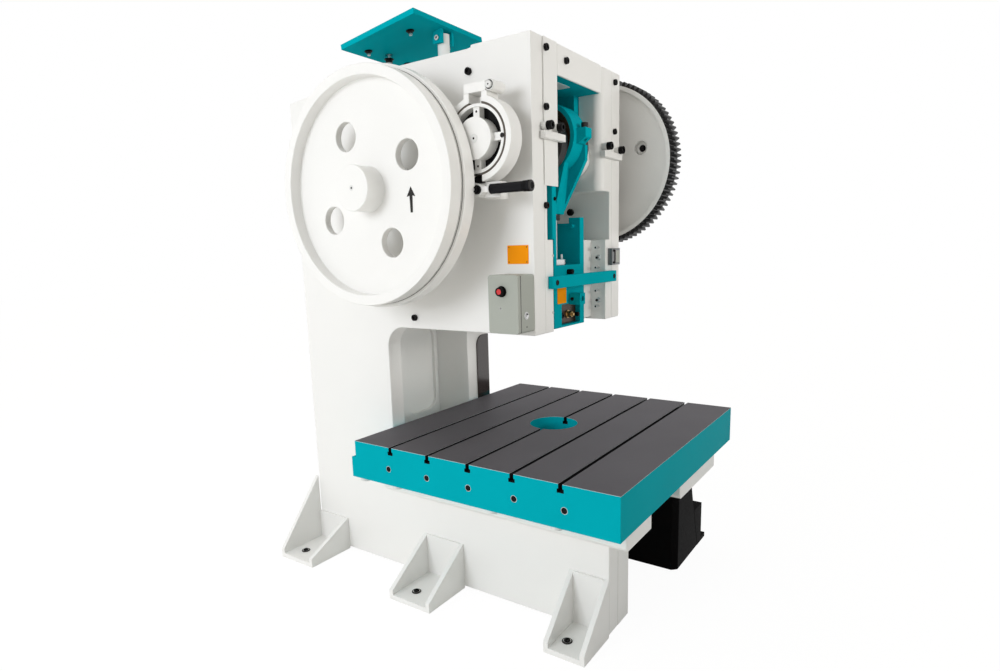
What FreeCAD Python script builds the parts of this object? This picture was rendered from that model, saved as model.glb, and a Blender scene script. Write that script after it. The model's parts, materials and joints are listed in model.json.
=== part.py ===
import FreeCAD, Part
import math
import os
import re

import Sketcher

# An open-front mechanical stamping press: C frame, crank, connecting rod, ram,
# geared drive, brake, bolster and the pieces that carry them.
# X runs to the machine's right, Y to its back, Z up. The origin is on the floor,
# below the ram's centre line. Every size here is in millimetres or degrees.
SIZES = {
    # side plates of the C frame, seen from the side
    "plate_inner": 334, "plate_outer": 425, "frame_bottom": 10, "arm_front": 504,
    "right_arm_front": 56, "arm_top": 490, "throat_back": 708, "throat_round": 105,
    "head_bottom": 1288, "head_front": 160, "head_rise": 412, "top_step_back": 135,
    "rear_step": 12, "slope_start": 740, "frame_rear": 1325, "slope_drop": 54,
    # plates that tie the two sides together
    "rear_wall_front": 940, "rear_wall_thick": 40, "recess_left": 57, "recess_right": 195,
    "recess_low": 711, "recess_high": 1215, "recess_round": 70, "recess_deep": 20,
    "top_plate_thick": 30,
    "rib_inner": 223, "cover_inner": 308, "cover_thick": 8, "cover_low": 620,
    "cover_high": 1150, "cover_round": 60,
    # columns each side of the ram
    "column_inner": 211, "column_back": 38, "column_round": 45, "pocket_wall": 310,
    "pocket_drop": 398, "ledge_drop": 163, "gib_seat": 264, "gib_seat_back": 130,
    "front_cover_inner": 222, "front_cover_lap": 10, "front_cover_thick": 5,
    "front_plate_thick": 10,
    # crank case
    "case_back": 260, "case_back_wall": 25, "case_rise": 312, "case_roof": 25,
    "case_inner": 168, "case_drop": 103,
    # bracket in the left pocket
    "bracket_right": 227, "bracket_gap": 3, "bracket_back": 100,
    "bracket_thick": 10, "strip_left": 277, "strip_right": 243, "strip_front": 165,
    # legs and feet
    "left_leg_inner": 223, "left_leg_deep": 100, "black_leg_left": 269,
    "black_leg_foot": 616, "black_leg_shoulder": 467, "black_leg_front": 556,
    "black_leg_chamfer": 25, "bracket_foot_right": 750, "bracket_foot_top": 230,
    "bracket_foot_block": 680, "bracket_foot_back": 480, "bracket_foot_sole": 25,
    "bracket_foot_hole": 720,
    "sole_thick": 24, "gusset_thick": 22, "foot_reach": 270, "front_foot_reach": 232,
    "gusset_tip": 24, "anchor_radius": 13, "anchor_inset": 85,
    "anchor_shift": 28,
    "rear_foot_front": 1099, "rear_foot_back": 1352, "rear_foot_high": 390,
    "rear_foot_low": 183, "middle_foot_front": 276, "middle_foot_back": 528,
    "middle_foot_high": 234, "front_foot_back": 313, "front_foot_high": 267,
    # bed rails and bolster
    "rail_front": 645, "rail_back": 640, "rail_outer": 577, "left_rail_inner": 316,
    "right_rail_inner": 35, "rail_chamfer": 18,
    "bolster_low": 602, "bolster_high": 782, "bolster_half": 723.5, "bolster_front": 685,
    "bolster_back": 668, "bolster_step_back": 695, "bolster_step_high": 700,
    "slot_pitch": 220, "slot_neck": 18, "slot_deep": 36, "slot_head": 30,
    "slot_head_high": 16, "bolster_bore": 120, "drop_room": 10, "side_hole_pitch": 228,
    "side_hole_radius": 15, "side_hole_deep": 60, "side_hole_height": 678,
    "lug_radius": 25, "lug_high": 20, "lug_out": 690, "lug_rear": 645,
    "lug_second": 434, "lug_third": 100, "lug_front": 406,
    # pieces on the front of the columns
    "tie_bar_left": 312, "tie_bar_right": 332, "tie_bar_front": 190, "tie_bar_low": 1480,
    "tie_bar_high": 1534, "sight_left": 290, "sight_right": 385, "sight_front": 185,
    "sight_low": 1562, "sight_high": 1646, "shelf_deep": 25, "shelf_thick": 30,
    "left_shelf_inner": 196, "left_shelf_outer": 368, "left_shelf_rise": 12,
    "right_shelf_inner": 206, "right_shelf_outer": 410, "right_shelf_rise": -5,
    # gibs and ram
    "ram_half": 148, "ram_front": 98, "ram_back": 110, "ram_deep": 278,
    "pocket_floor_rise": 14, "ram_rise": 238, "ram_back_rise": 212, "ram_arm_back": 37,
    "pocket_left": 125, "pocket_right": 106, "pocket_back": 84,
    "vee_centre": 6, "vee_half": 30, "gib_gap": 0.3, "gib_front": 79, "gib_low": 1300,
    "clamp_left": 81, "clamp_right": 103, "clamp_edge": 10, "clamp_tall": 98,
    "clamp_set": 25, "shank_radius": 30, "shank_deep": 75, "arm_across": 14,
    "arm_half": 27, "arm_reach": 61, "arm_rise": 131, "arm_hole": 12,
    "arm_hole_deep": 35,
    # crank, connecting rod and ball screw
    "crank_height": 2088, "throw": 65, "journal_radius": 75, "pin_radius": 100,
    "pin_half": 75, "web_outer": 130, "web_radius": 135, "shaft_end_radius": 60,
    "left_shoulder": 455, "left_end": 590, "right_shoulder": 490, "right_end": 620,
    "bush_outer": 100, "bush_end": 425, "run_fit": 0.05, "press_fit": 0.02,
    "rod_half": 60, "big_end_radius": 157, "shell_outer": 138, "rod_lug_reach": 200,
    "rod_lug_half": 30, "rod_lug_thick": 33, "rod_bolt_across": 180, "rod_bolt_radius": 12,
    "rod_bolt_head": 16, "rod_bolt_head_high": 24, "rod_bolt_gap": 0.5,
    "rod_bolt_deep": 12, "rod_lug_edge": 8,
    "rod_waist_drop": 34, "rod_waist_half": 112, "rod_shoulder_half": 164,
    "rod_web_half": 84, "rod_web_left": 22, "rod_web_right": 35,
    "rod_tip_drop": 276, "rod_tip_half": 50, "rod_point_half": 32, "screw_bore": 44, "screw_bore_drop": 128,
    "ball_drop": 528, "ball_radius": 50, "ball_gap": 0.3, "screw_radius": 30,
    "screw_drop": 146, "collar_radius": 42, "collar_rise": 224, "collar_long": 24,
    "seat_radius": 68, "seat_deep": 70, "seat_drop": 5, "ball_cap_rise": 40,
    "ball_cap_hole": 38, "ball_cap_hole_rise": 20,
    # geared drive
    "module_size": 9, "gear_teeth": 92, "pinion_teeth": 26, "mesh_drop": 18,
    "pressure_angle": 20, "backlash": 0.6, "gear_left": 500, "gear_right": 605,
    "gear_rim_inner": 380, "gear_web_bite": 8, "gear_web_left": 535, "gear_web_right": 570,
    "gear_hub_radius": 110, "gear_hub_left": 490.3, "gear_hub_right": 619.7,
    "gear_hole": 35, "gear_hole_pitch": 240, "gear_hole_turn": 164, "gear_holes": 4,
    "end_cap_radius": 80,
    "end_cap_thick": 12, "drive_radius": 45, "pinion_extra": 5,
    "bearing_radius": 75, "bearing_flange": 100, "bearing_flange_thick": 22,
    # flywheel
    "wheel_rear": 610, "wheel_front": 746.6, "wheel_rim": 496.5, "wheel_flange": 510,
    "wheel_bore_rim": 452, "groove_front": 680, "groove_rear": 672, "groove_floor": 486,
    "wheel_web_front": 694, "wheel_web_rear": 660, "wheel_hub": 95.5,
    "wheel_hub_front": 792, "wheel_hole": 62, "wheel_hole_pitch": 260,
    "wheel_hole_turn": 62, "wheel_holes": 4, "drive_left_end": 784,
    # brake
    "drum_radius": 132.7, "drum_rim_thick": 12, "drum_hub": 81, "drum_left": 587,
    "drum_cap_front": 602, "spoke_wide": 30, "spoke_left": 580,
    "lining_inner": 133, "shoe_inner": 141, "shoe_outer": 166, "shoe_right": 508,
    "shoe_gap_half": 30, "shoe_foot_gap": 22, "shoe_cut_spare": 1, "ear_wide": 27,
    "ear_rise": 175, "tie_front": 50, "tie_back": 54, "tie_deep": 36, "spring_front": 71,
    "spring_radius": 22, "mount_front": 95, "mount_back": 9, "mount_drop": 30,
    "mount_rise": 30.5, "mount_left": 565, "mount_right": 520, "mount_stem_front": 40,
    "tongue_front": 18, "tongue_rise": 55, "lever_across": 8, "lever_drop": 197,
    "lever_hub": 24, "lever_left": 599, "lever_gap": 0.3, "lever_pin": 10,
    "lever_half": 11, "grip_start": 66,
    "grip_end": 238, "grip_radius": 19.5, "grip_centre": 587, "grip_collar": 22,
    "grip_collar_long": 14,
    # control box
    "box_left": 530, "box_front": 157, "box_back": 10, "box_low": 1309,
    "box_tall": 242, "box_wall": 4, "box_round": 12, "lid_left": 550, "lid_gap": 0.3,
    "button_across": 78, "button_rise": 175, "bezel_radius": 23, "bezel_thick": 4,
    "button_radius": 14, "button_head_high": 14, "button_stem": 10, "button_gap": 0.3,
    "button_stem_inner": 538, "button_travel": 4, "latch_across": 489, "latch_rise": 72,
    "latch_radius": 12, "latch_thick": 4, "latch_bar_half": 3,
    # motor plate and what carries it
    "motor_left": 425, "motor_right": 85, "motor_front": 437, "motor_rise": 186,
    "motor_long": 475, "motor_thick": 24, "motor_tilt": 7.9, "motor_hole": 9,
    "motor_hole_out": 140, "motor_hole_front": 129, "motor_hole_rear": 409,
    "motor_hole_long": 72,
    "post_across": 165, "post_back": 485, "post_radius": 28.5, "post_drop": 18,
    "hinge_drop": 41, "hinge_pin": 10, "hinge_ear_gap": 2, "hinge_ear_thick": 16,
    "hinge_ear_drop": 23, "hinge_ear_half": 26, "hinge_pin_out": 6, "adjuster_across": 190,
    "adjuster_back": 821, "adjuster_radius": 12, "adjuster_hole": 17,
    "adjuster_rise": 26,
}

# Heights that follow another height, with the size that parts the two.
FOLLOWS = {
    "head_top": "crank_height + head_rise", "rear_top": "head_top - rear_step",
    "slope_low": "rear_top - slope_drop", "case_top": "crank_height + case_rise",
    "case_low": "crank_height - case_drop", "pocket_high": "crank_height - ledge_drop",
    "pocket_low": "crank_height - pocket_drop",
    "front_cover_low": "pocket_high - front_cover_lap",
    "bracket_low": "pocket_low + bracket_gap", "bracket_high": "pocket_high - front_cover_lap",
    "rod_waist_high": "crank_height - rod_waist_drop", "rod_tip": "crank_height - rod_tip_drop",
    "screw_bore_high": "crank_height - screw_bore_drop",
    "screw_top": "crank_height - screw_drop", "ball_height": "crank_height - ball_drop",
    "collar_low": "ball_height + collar_rise", "collar_high": "collar_low + collar_long",
    "seat_high": "ball_height - seat_drop", "ball_cap_high": "ball_height + ball_cap_rise",
    "ball_cap_hole_low": "ball_height + ball_cap_hole_rise",
    "seat_low": "ball_height - seat_deep", "ram_low": "ball_height - ram_deep",
    "pocket_floor": "ball_height + pocket_floor_rise", "ram_high": "ball_height + ram_rise",
    "ram_back_high": "ball_height + ram_back_rise", "clamp_low": "ram_low + clamp_edge",
    "clamp_high": "clamp_low + clamp_tall", "arm_height": "ram_low + arm_rise",
    "ear_high": "crank_height + ear_rise", "tie_high": "ear_high + tie_deep",
    "spring_height": "ear_high + tie_deep / 2", "lever_height": "crank_height - lever_drop",
    "mount_low": "lever_height - mount_drop", "mount_high": "lever_height + mount_rise",
    "tongue_high": "lever_height + tongue_rise", "box_high": "box_low + box_tall",
    "button_height": "box_low + button_rise", "latch_height": "box_low + latch_rise",
    "motor_front_low": "head_top + motor_rise", "post_top": "motor_front_low - post_drop",
    "hinge_height": "motor_front_low - hinge_drop",
    "hinge_ear_low": "hinge_height - hinge_ear_drop",
    "adjuster_top": "motor_front_low + adjuster_rise",
}

doc = FreeCAD.newDocument("StampingPress")
sheet = doc.addObject("Spreadsheet::Sheet", "Dims")
nodes = []

WORD = re.compile(r"[a-z][a-z_]*")
AXIS_TURN = {
    "x": FreeCAD.Rotation(FreeCAD.Vector(0, 1, 0), 90),
    "y": FreeCAD.Rotation(FreeCAD.Vector(1, 0, 0), -90),
    "z": FreeCAD.Rotation(),
}
# the letter of the axis that each sketch plane faces
FACING = {"XY": "z", "XZ": "y", "YZ": "x"}


def fill_sheet():
    """Write every driving size into the sheet, under its own word."""
    for row, (word, size) in enumerate(SIZES.items(), start=1):
        sheet.set(f"A{row}", word)
        sheet.set(f"B{row}", str(size))
        sheet.setAlias(f"B{row}", word)
    doc.recompute()


def bind(text):
    """The formula with each following height written out and each size as its cell."""
    def swap(found):
        word = found[0]
        if word in FOLLOWS:
            return f"({bind(FOLLOWS[word])})"
        return f"Dims.{word}" if word in SIZES else word
    return WORD.sub(swap, str(text))


def value(text):
    """The formula's present value."""
    return float(sheet.evalExpression(bind(text)))


def tie(thing, place, text):
    """Bind one property of a document object to a formula."""
    thing.setExpression(place, bind(text))


def locate(thing, x, y, z):
    for letter, text in zip("xyz", (x, y, z)):
        tie(thing, f"Placement.Base.{letter}", text)


def keep(thing, name):
    """Make the object a sub-part of its own, with its plain name."""
    thing.Label = name
    nodes.append(thing)
    return thing


def span(side, near, far):
    """Low and high X of a piece that lies from near to far on one side."""
    return (near, far) if side > 0 else (f"-({far})", f"-({near})")


def block(name, x_low, x_high, y_low, y_high, z_low, z_high):
    box = doc.addObject("Part::Box", name)
    tie(box, "Length", f"({x_high}) - ({x_low})")
    tie(box, "Width", f"({y_high}) - ({y_low})")
    tie(box, "Height", f"({z_high}) - ({z_low})")
    locate(box, x_low, y_low, z_low)
    return box


def rod(name, axis, radius, low, high, one, two):
    """A cylinder along one axis, its centre given by the other two coordinates."""
    cylinder = doc.addObject("Part::Cylinder", name)
    cylinder.Placement = FreeCAD.Placement(FreeCAD.Vector(), AXIS_TURN[axis])
    tie(cylinder, "Radius", radius)
    tie(cylinder, "Height", f"({high}) - ({low})")
    places = {"x": (low, one, two), "y": (one, low, two), "z": (one, two, low)}
    locate(cylinder, *places[axis])
    return cylinder


def ball(name, radius, x, y, z):
    sphere = doc.addObject("Part::Sphere", name)
    tie(sphere, "Radius", radius)
    locate(sphere, x, y, z)
    return sphere


def fuse(name, *pieces):
    joined = doc.addObject("Part::MultiFuse", name)
    joined.Shapes = list(pieces)
    joined.Refine = True
    return joined


def group(name, *pieces):
    """Separate solids of one kind, kept in one sub-part."""
    compound = doc.addObject("Part::Compound", name)
    compound.Links = list(pieces)
    return compound


def cut(name, base, *tools):
    result = doc.addObject("Part::Cut", name)
    result.Base = base
    result.Tool = tools[0] if len(tools) == 1 else fuse(f"{name}_cutters", *tools)
    result.Refine = True
    return result


def way(start, end):
    """-1, 0 or 1: which way one coordinate goes."""
    step = end - start
    return (step > 1e-6) - (step < -1e-6)


def corner(outline, index):
    """Where the outline enters and leaves a corner, and the centre of its round."""
    point = outline[index]
    if len(point) == 2:
        return point, point, None
    across, up, radius = (f"({text})" for text in point)
    here = [value(across), value(up)]
    before = [value(text) for text in outline[index - 1][:2]]
    after = [value(text) for text in outline[(index + 1) % len(outline)][:2]]
    back = [way(here[axis], before[axis]) for axis in (0, 1)]
    ahead = [way(here[axis], after[axis]) for axis in (0, 1)]
    enter = (f"{across} + {back[0]} * {radius}", f"{up} + {back[1]} * {radius}")
    leave = (f"{across} + {ahead[0]} * {radius}", f"{up} + {ahead[1]} * {radius}")
    centre = (f"{across} + {back[0] + ahead[0]} * {radius}",
              f"{up} + {back[1] + ahead[1]} * {radius}")
    return enter, leave, centre


def spot(pair):
    return FreeCAD.Vector(value(pair[0]), value(pair[1]), 0)


def quarter(enter, leave, centre):
    """The quarter circle at a rounded corner, and whether it starts where the outline enters."""
    middle = spot(centre)
    arms = [spot(end) - middle for end in (enter, leave)]
    angles = [math.atan2(arm.y, arm.x) for arm in arms]
    forward = (angles[1] - angles[0]) % (2 * math.pi) < math.pi
    first, last = angles if forward else reversed(angles)
    circle = Part.Circle(middle, FreeCAD.Vector(0, 0, 1), arms[0].Length)
    return Part.ArcOfCircle(circle, first, last), forward


def hold(sketch, geometry, end, pair):
    """Tie one point of the sketch to its two formulas."""
    for kind, text in zip(("DistanceX", "DistanceY"), pair):
        number = sketch.addConstraint(
            Sketcher.Constraint(kind, -1, 1, geometry, end, value(text)))
        tie(sketch, f"Constraints[{number}]", text)


def draw(body, plane, outline):
    """A closed outline on one of the body's own planes. A point with a third value is rounded."""
    sketch = body.newObject("Sketcher::SketchObject", f"{body.Name}_outline")
    faces = body.Origin.OriginFeatures
    sketch.AttachmentSupport = ([face for face in faces if face.Role == f"{plane}_Plane"][0], [""])
    sketch.MapMode = "FlatFace"
    corners = [corner(outline, index) for index in range(len(outline))]
    count = len(corners)
    for index in range(count):
        start, end = corners[index][1], corners[(index + 1) % count][0]
        sketch.addGeometry(Part.LineSegment(spot(start), spot(end)), False)
    for index, (enter, leave, centre) in enumerate(corners):
        hold(sketch, index, 1, leave)
        before = (index - 1) % count
        if centre is None:
            sketch.addConstraint(Sketcher.Constraint("Coincident", before, 2, index, 1))
            continue
        hold(sketch, before, 2, enter)
        arc, forward = quarter(enter, leave, centre)
        number = sketch.addGeometry(arc, False)
        ends = (1, 2) if forward else (2, 1)
        sketch.addConstraint(Sketcher.Constraint("Coincident", before, 2, number, ends[0]))
        sketch.addConstraint(Sketcher.Constraint("Coincident", index, 1, number, ends[1]))
        held = sketch.addConstraint(
            Sketcher.Constraint("DistanceX", -1, 1, number, 3, value(centre[0])))
        tie(sketch, f"Constraints[{held}]", centre[0])
    return sketch


def prism(name, plane, outline, low, high):
    """The outline, drawn on a plane and made solid between two heights above it."""
    body = doc.addObject("PartDesign::Body", name)
    pad = body.newObject("PartDesign::Pad", f"{name}_pad")
    pad.Profile = draw(body, plane, outline)
    tie(pad, "Length", f"({high}) - ({low})")
    tie(body, f"Placement.Base.{FACING[plane]}", high if plane == "XZ" else low)
    return body


def turned(name, outline, y, z):
    """A piece turned about an axis along X. The outline gives places along it and radii."""
    body = doc.addObject("PartDesign::Body", name)
    turn = body.newObject("PartDesign::Revolution", f"{name}_turn")
    sketch = draw(body, "XY", outline)
    turn.Profile = sketch
    turn.ReferenceAxis = (sketch, ["H_Axis"])
    turn.Angle = 360
    tie(body, "Placement.Base.y", y)
    tie(body, "Placement.Base.z", z)
    return body


# Formulas that several pieces share.
DRIVE_Y = "module_size * (gear_teeth + pinion_teeth) / 2 * cos(mesh_drop)"
DRIVE_Z = "crank_height - module_size * (gear_teeth + pinion_teeth) / 2 * sin(mesh_drop)"
PIN_HEIGHT = "crank_height + throw"
BUSH_SEAT = "bush_outer + press_fit"


def side_plate(side, name, arm_front):
    """One side of the C frame: a thick plate with the throat cut into its front."""
    outline = [
        (f"-{arm_front}", "frame_bottom"), ("frame_rear", "frame_bottom"),
        ("frame_rear", "slope_low"), ("slope_start", "rear_top"),
        ("top_step_back", "rear_top"), ("top_step_back", "head_top"),
        ("-head_front", "head_top"), ("-head_front", "head_bottom"),
        ("throat_back", "head_bottom", "throat_round"), ("throat_back", "arm_top"),
        (f"-{arm_front}", "arm_top"),
    ]
    low, high = span(side, "plate_inner", "plate_outer")
    blank = prism(f"{name}_blank", "YZ", outline, low, high)
    crank_bore = rod(f"{name}_crank_bore", "x", BUSH_SEAT, low, high, "0", "crank_height")
    drive_bore = rod(f"{name}_drive_bore", "x", "bearing_radius + press_fit", low, high,
                     DRIVE_Y, DRIVE_Z)
    keep(cut(name, blank, crank_bore, drive_bore), name)


def cross_plates():
    """The plates that join the two sides behind the throat and over the head."""
    wall = block("rear_wall_blank", "-plate_inner", "plate_inner", "rear_wall_front",
                 "rear_wall_front + rear_wall_thick", "frame_bottom", "case_top")
    recess = prism("rear_wall_recess", "XZ", [
        ("-recess_left", "recess_low", "recess_round"),
        ("recess_right", "recess_low", "recess_round"),
        ("recess_right", "recess_high", "recess_round"),
        ("-recess_left", "recess_high", "recess_round"),
    ], "rear_wall_front", "rear_wall_front + recess_deep")
    keep(cut("rear_wall", wall, recess), "rear_wall")
    keep(block("top_plate", "-plate_inner", "plate_inner", "case_back", "frame_rear",
               "case_top", "case_top + top_plate_thick"), "top_plate")
    keep(block("throat_rib", "rib_inner", "plate_inner", "throat_back", "rear_wall_front",
               "arm_top", "head_bottom"), "throat_rib")
    keep(prism("throat_cover", "XZ", [
        ("cover_inner", "cover_low"), ("plate_outer", "cover_low"),
        ("plate_outer", "cover_high"), ("cover_inner", "cover_high", "cover_round"),
    ], "throat_back - cover_thick", "throat_back"), "throat_cover")


def column(side, name, rounded):
    """A guide column: full width above, a ledge under the crank case, a pocket and the gib's seat."""
    near, far = f"{side} * column_inner", f"{side} * plate_inner"
    front_edge = (near, "-head_front", "column_round") if rounded else (near, "-head_front")
    upper = prism(f"{name}_upper", "XY", [
        front_edge, (far, "-head_front"), (far, "-column_back"), (near, "-column_back"),
    ], "pocket_high", "head_top")
    low, high = span(side, "pocket_wall", "plate_inner")
    pocket = block(f"{name}_pocket", low, high, "-head_front", "gib_seat_back",
                   "pocket_low", "pocket_high")
    low, high = span(side, "column_inner", "plate_inner")
    ledge = block(f"{name}_ledge", low, high, "-column_back", "case_back",
                  "pocket_high", "case_low")
    low, high = span(side, "gib_seat", "plate_inner")
    seat = block(f"{name}_seat", low, high, "-head_front", "gib_seat_back",
                 "head_bottom", "pocket_low")
    bore = rod(f"{name}_bore", "x", BUSH_SEAT, "-plate_inner", "plate_inner", "0", "crank_height")
    keep(cut(name, fuse(f"{name}_blank", upper, ledge, pocket, seat), bore), name)


def crank_case():
    """The housing round the crank, open to the front and below."""
    shell = block("crank_case_shell", "-plate_inner", "plate_inner", "-column_back", "case_back",
                  "case_low", "case_top")
    roof = block("crank_case_roof", "-column_inner", "column_inner",
                 "front_plate_thick - head_front", "-column_back",
                 "case_top - case_roof", "case_top")
    hollow = block("crank_case_hollow", "-case_inner", "case_inner", "-column_back",
                   "case_back - case_back_wall", "case_low", "case_top - case_roof")
    bore = rod("crank_case_bore", "x", BUSH_SEAT, "-plate_inner", "plate_inner", "0",
               "crank_height")
    keep(cut("crank_case", fuse("crank_case_blank", shell, roof), hollow, bore), "crank_case")


def head_fronts():
    keep(block("left_front_cover", "-plate_inner", "-front_cover_inner",
               "-head_front - front_cover_thick", "-head_front", "front_cover_low", "head_top"),
         "left_front_cover")
    keep(block("head_front_plate", "-column_inner", "column_inner", "-head_front",
               "front_plate_thick - head_front", "case_top - case_roof", "head_top"),
         "head_front_plate")
    keep(prism("left_bracket", "XY", [
        ("-pocket_wall", "-bracket_back"), ("-pocket_wall", "-bracket_back - bracket_thick"),
        ("-strip_left", "-bracket_back - bracket_thick"), ("-strip_left", "-strip_front"),
        ("-strip_right", "-strip_front"), ("-strip_right", "-bracket_back - bracket_thick"),
        ("-bracket_right", "-bracket_back - bracket_thick"), ("-bracket_right", "-bracket_back"),
    ], "bracket_low", "bracket_high"), "left_bracket")


def legs():
    keep(block("left_leg", "-plate_inner", "-left_leg_inner", "-arm_front",
               "left_leg_deep - arm_front", "frame_bottom", "arm_top"), "left_leg")
    leg = prism("black_leg_blank", "XZ", [
        ("black_leg_left", "0"), ("black_leg_foot", "0"),
        ("black_leg_shoulder", "arm_top"), ("black_leg_left", "arm_top"),
    ], "-black_leg_front", "-right_arm_front")
    edge = prism("black_leg_edge", "XY", [
        ("black_leg_left", "-black_leg_front"),
        ("black_leg_left + black_leg_chamfer", "-black_leg_front"),
        ("black_leg_left", "-black_leg_front + black_leg_chamfer"),
    ], "0", "arm_top")
    keep(cut("right_leg", leg, edge), "right_leg")
    slant = "(black_leg_foot - black_leg_shoulder) * bracket_foot_top / arm_top"
    foot = prism("right_front_foot_blank", "XZ", [
        ("black_leg_foot", "0"), ("bracket_foot_right", "0"),
        ("bracket_foot_right", "bracket_foot_sole"), ("bracket_foot_block", "bracket_foot_sole"),
        ("bracket_foot_block", "bracket_foot_top"),
        (f"black_leg_foot - {slant}", "bracket_foot_top"),
    ], "-black_leg_front", "-bracket_foot_back")
    hole = rod("right_front_foot_hole", "z", "anchor_radius", "0", "bracket_foot_sole",
               "bracket_foot_hole", "-(black_leg_front + bracket_foot_back) / 2")
    keep(cut("right_front_foot", foot, hole), "right_front_foot")


def foot(side, name, front, back, front_high, back_high, reach):
    """A welded foot: a sole with an anchor hole, and a three-cornered gusset at each end."""
    root, tip = f"{side} * plate_outer", f"{side} * (plate_outer + {reach})"
    low, high = span(side, "plate_outer", f"plate_outer + {reach}")
    pieces = [block(f"{name}_sole", low, high, front, back, "0", "sole_thick")]
    for end, start, stop, apex in (("front", front, f"{front} + gusset_thick", front_high),
                                   ("back", f"{back} - gusset_thick", back, back_high)):
        pieces.append(prism(f"{name}_{end}_gusset", "XZ", [
            (root, "sole_thick"), (tip, "sole_thick"),
            (tip, "sole_thick + gusset_tip"), (root, apex),
        ], start, stop))
    hole = rod(f"{name}_hole", "z", "anchor_radius", "0", "sole_thick",
               f"{side} * (plate_outer + {reach} - anchor_inset)",
               f"({front} + {back}) / 2 + anchor_shift")
    return cut(name, fuse(f"{name}_blank", *pieces), hole)


def feet():
    left = [
        foot(-1, "left_rear_foot", "rear_foot_front", "rear_foot_back", "rear_foot_low",
             "rear_foot_high", "foot_reach"),
        foot(-1, "left_middle_foot", "middle_foot_front", "middle_foot_back",
             "middle_foot_high", "middle_foot_high", "foot_reach"),
        foot(-1, "left_front_foot", "-arm_front", "-front_foot_back", "front_foot_high",
             "front_foot_high", "front_foot_reach"),
    ]
    right = [
        foot(1, "right_rear_foot", "rear_foot_front", "rear_foot_back", "rear_foot_low",
             "rear_foot_high", "foot_reach"),
        foot(1, "right_middle_foot", "middle_foot_front", "middle_foot_back",
             "middle_foot_high", "middle_foot_high", "foot_reach"),
    ]
    keep(group("left_feet", *left), "left_feet")
    keep(group("right_feet", *right), "right_feet")


def bed_rails():
    """The bars under the bolster, each with its lower left corner cut off."""
    bars = []
    for side, near in ((-1, "left_rail_inner"), (1, "right_rail_inner")):
        low, high = span(side, near, "rail_outer")
        bars.append(prism(f"bed_rail_{len(bars) + 1}", "XZ", [
            (f"{low} + rail_chamfer", "arm_top"), (high, "arm_top"), (high, "bolster_low"),
            (low, "bolster_low"), (low, "arm_top + rail_chamfer"),
        ], "-rail_front", "rail_back"))
    drop = rod("bed_rail_drop", "z", "bolster_bore + drop_room", "arm_top", "bolster_low", "0", "0")
    keep(group("bed_rails", bars[0], cut("bed_rail_right", bars[1], drop)), "bed_rails")


def bolster():
    """The die plate, with five tee slots across it and a drop hole in its middle."""
    blank = prism("bolster_blank", "YZ", [
        ("-bolster_front", "bolster_low"), ("bolster_step_back", "bolster_low"),
        ("bolster_step_back", "bolster_step_high"), ("bolster_back", "bolster_step_high"),
        ("bolster_back", "bolster_high"), ("-bolster_front", "bolster_high"),
    ], "-bolster_half", "bolster_half")
    cutters = [rod("bolster_drop_hole", "z", "bolster_bore", "bolster_low", "bolster_high",
                   "0", "0")]
    for number in range(-2, 3):
        middle = f"{number} * slot_pitch"
        neck_low, neck_high = f"{middle} - slot_neck / 2", f"{middle} + slot_neck / 2"
        head_low, head_high = f"{middle} - slot_head / 2", f"{middle} + slot_head / 2"
        floor = "bolster_high - slot_deep"
        cutters.append(prism(f"bolster_slot_{number + 3}", "YZ", [
            (head_low, floor), (head_high, floor), (head_high, f"{floor} + slot_head_high"),
            (neck_high, f"{floor} + slot_head_high"), (neck_high, "bolster_high"),
            (neck_low, "bolster_high"), (neck_low, f"{floor} + slot_head_high"),
            (head_low, f"{floor} + slot_head_high"),
        ], "-bolster_half", "bolster_half"))
        cutters.append(rod(f"bolster_side_hole_{number + 3}", "x", "side_hole_radius",
                           "-bolster_half", "side_hole_deep - bolster_half",
                           f"{number} * side_hole_pitch", "side_hole_height"))
    keep(cut("bolster", blank, *cutters), "bolster")
    lugs = []
    for side in (-1, 1):
        for place in ("lug_rear", "lug_second", "-lug_third", "-lug_front"):
            lugs.append(rod(f"bolster_lug_{len(lugs) + 1}", "z", "lug_radius",
                            "bolster_low - lug_high", "bolster_low", f"{side} * lug_out", place))
    keep(group("bolster_lugs", *lugs), "bolster_lugs")


def column_fronts():
    keep(block("tie_bar", "-tie_bar_left", "tie_bar_right", "-tie_bar_front", "-head_front",
               "tie_bar_low", "tie_bar_high"), "tie_bar")
    keep(block("sight_box", "sight_left", "sight_right", "-sight_front", "-head_front",
               "sight_low", "sight_high"), "sight_box")
    shelves = []
    for side, word, back in ((-1, "left", "-head_front - front_cover_thick"),
                             (1, "right", "-head_front")):
        low, high = span(side, f"{word}_shelf_inner", f"{word}_shelf_outer")
        base = f"crank_height + {word}_shelf_rise"
        shelves.append(block(f"{word}_stop_bracket", low, high, f"{back} - shelf_deep", back,
                             base, f"{base} + shelf_thick"))
    keep(group("stop_brackets", *shelves), "stop_brackets")


def gibs():
    """The two guides: each has a V that runs in the groove of the ram."""
    shift = "gib_gap * sqrt(2)"
    blocks = []
    for side, name in ((-1, "left_gib"), (1, "right_gib")):
        face = f"{side} * (ram_half + gib_gap)"
        apex = f"{side} * (ram_half - vee_half + {shift})"
        rise = f"(vee_half + gib_gap - {shift})"
        seat = f"{side} * gib_seat"
        blocks.append(prism(name, "XY", [
            (seat, "-gib_front"), (seat, "ram_back"), (face, "ram_back"),
            (face, f"vee_centre + {rise}"), (apex, "vee_centre"),
            (face, f"vee_centre - {rise}"), (face, "-gib_front"),
        ], "gib_low", "pocket_low"))
    keep(group("gibs", *blocks), "gibs")


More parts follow.
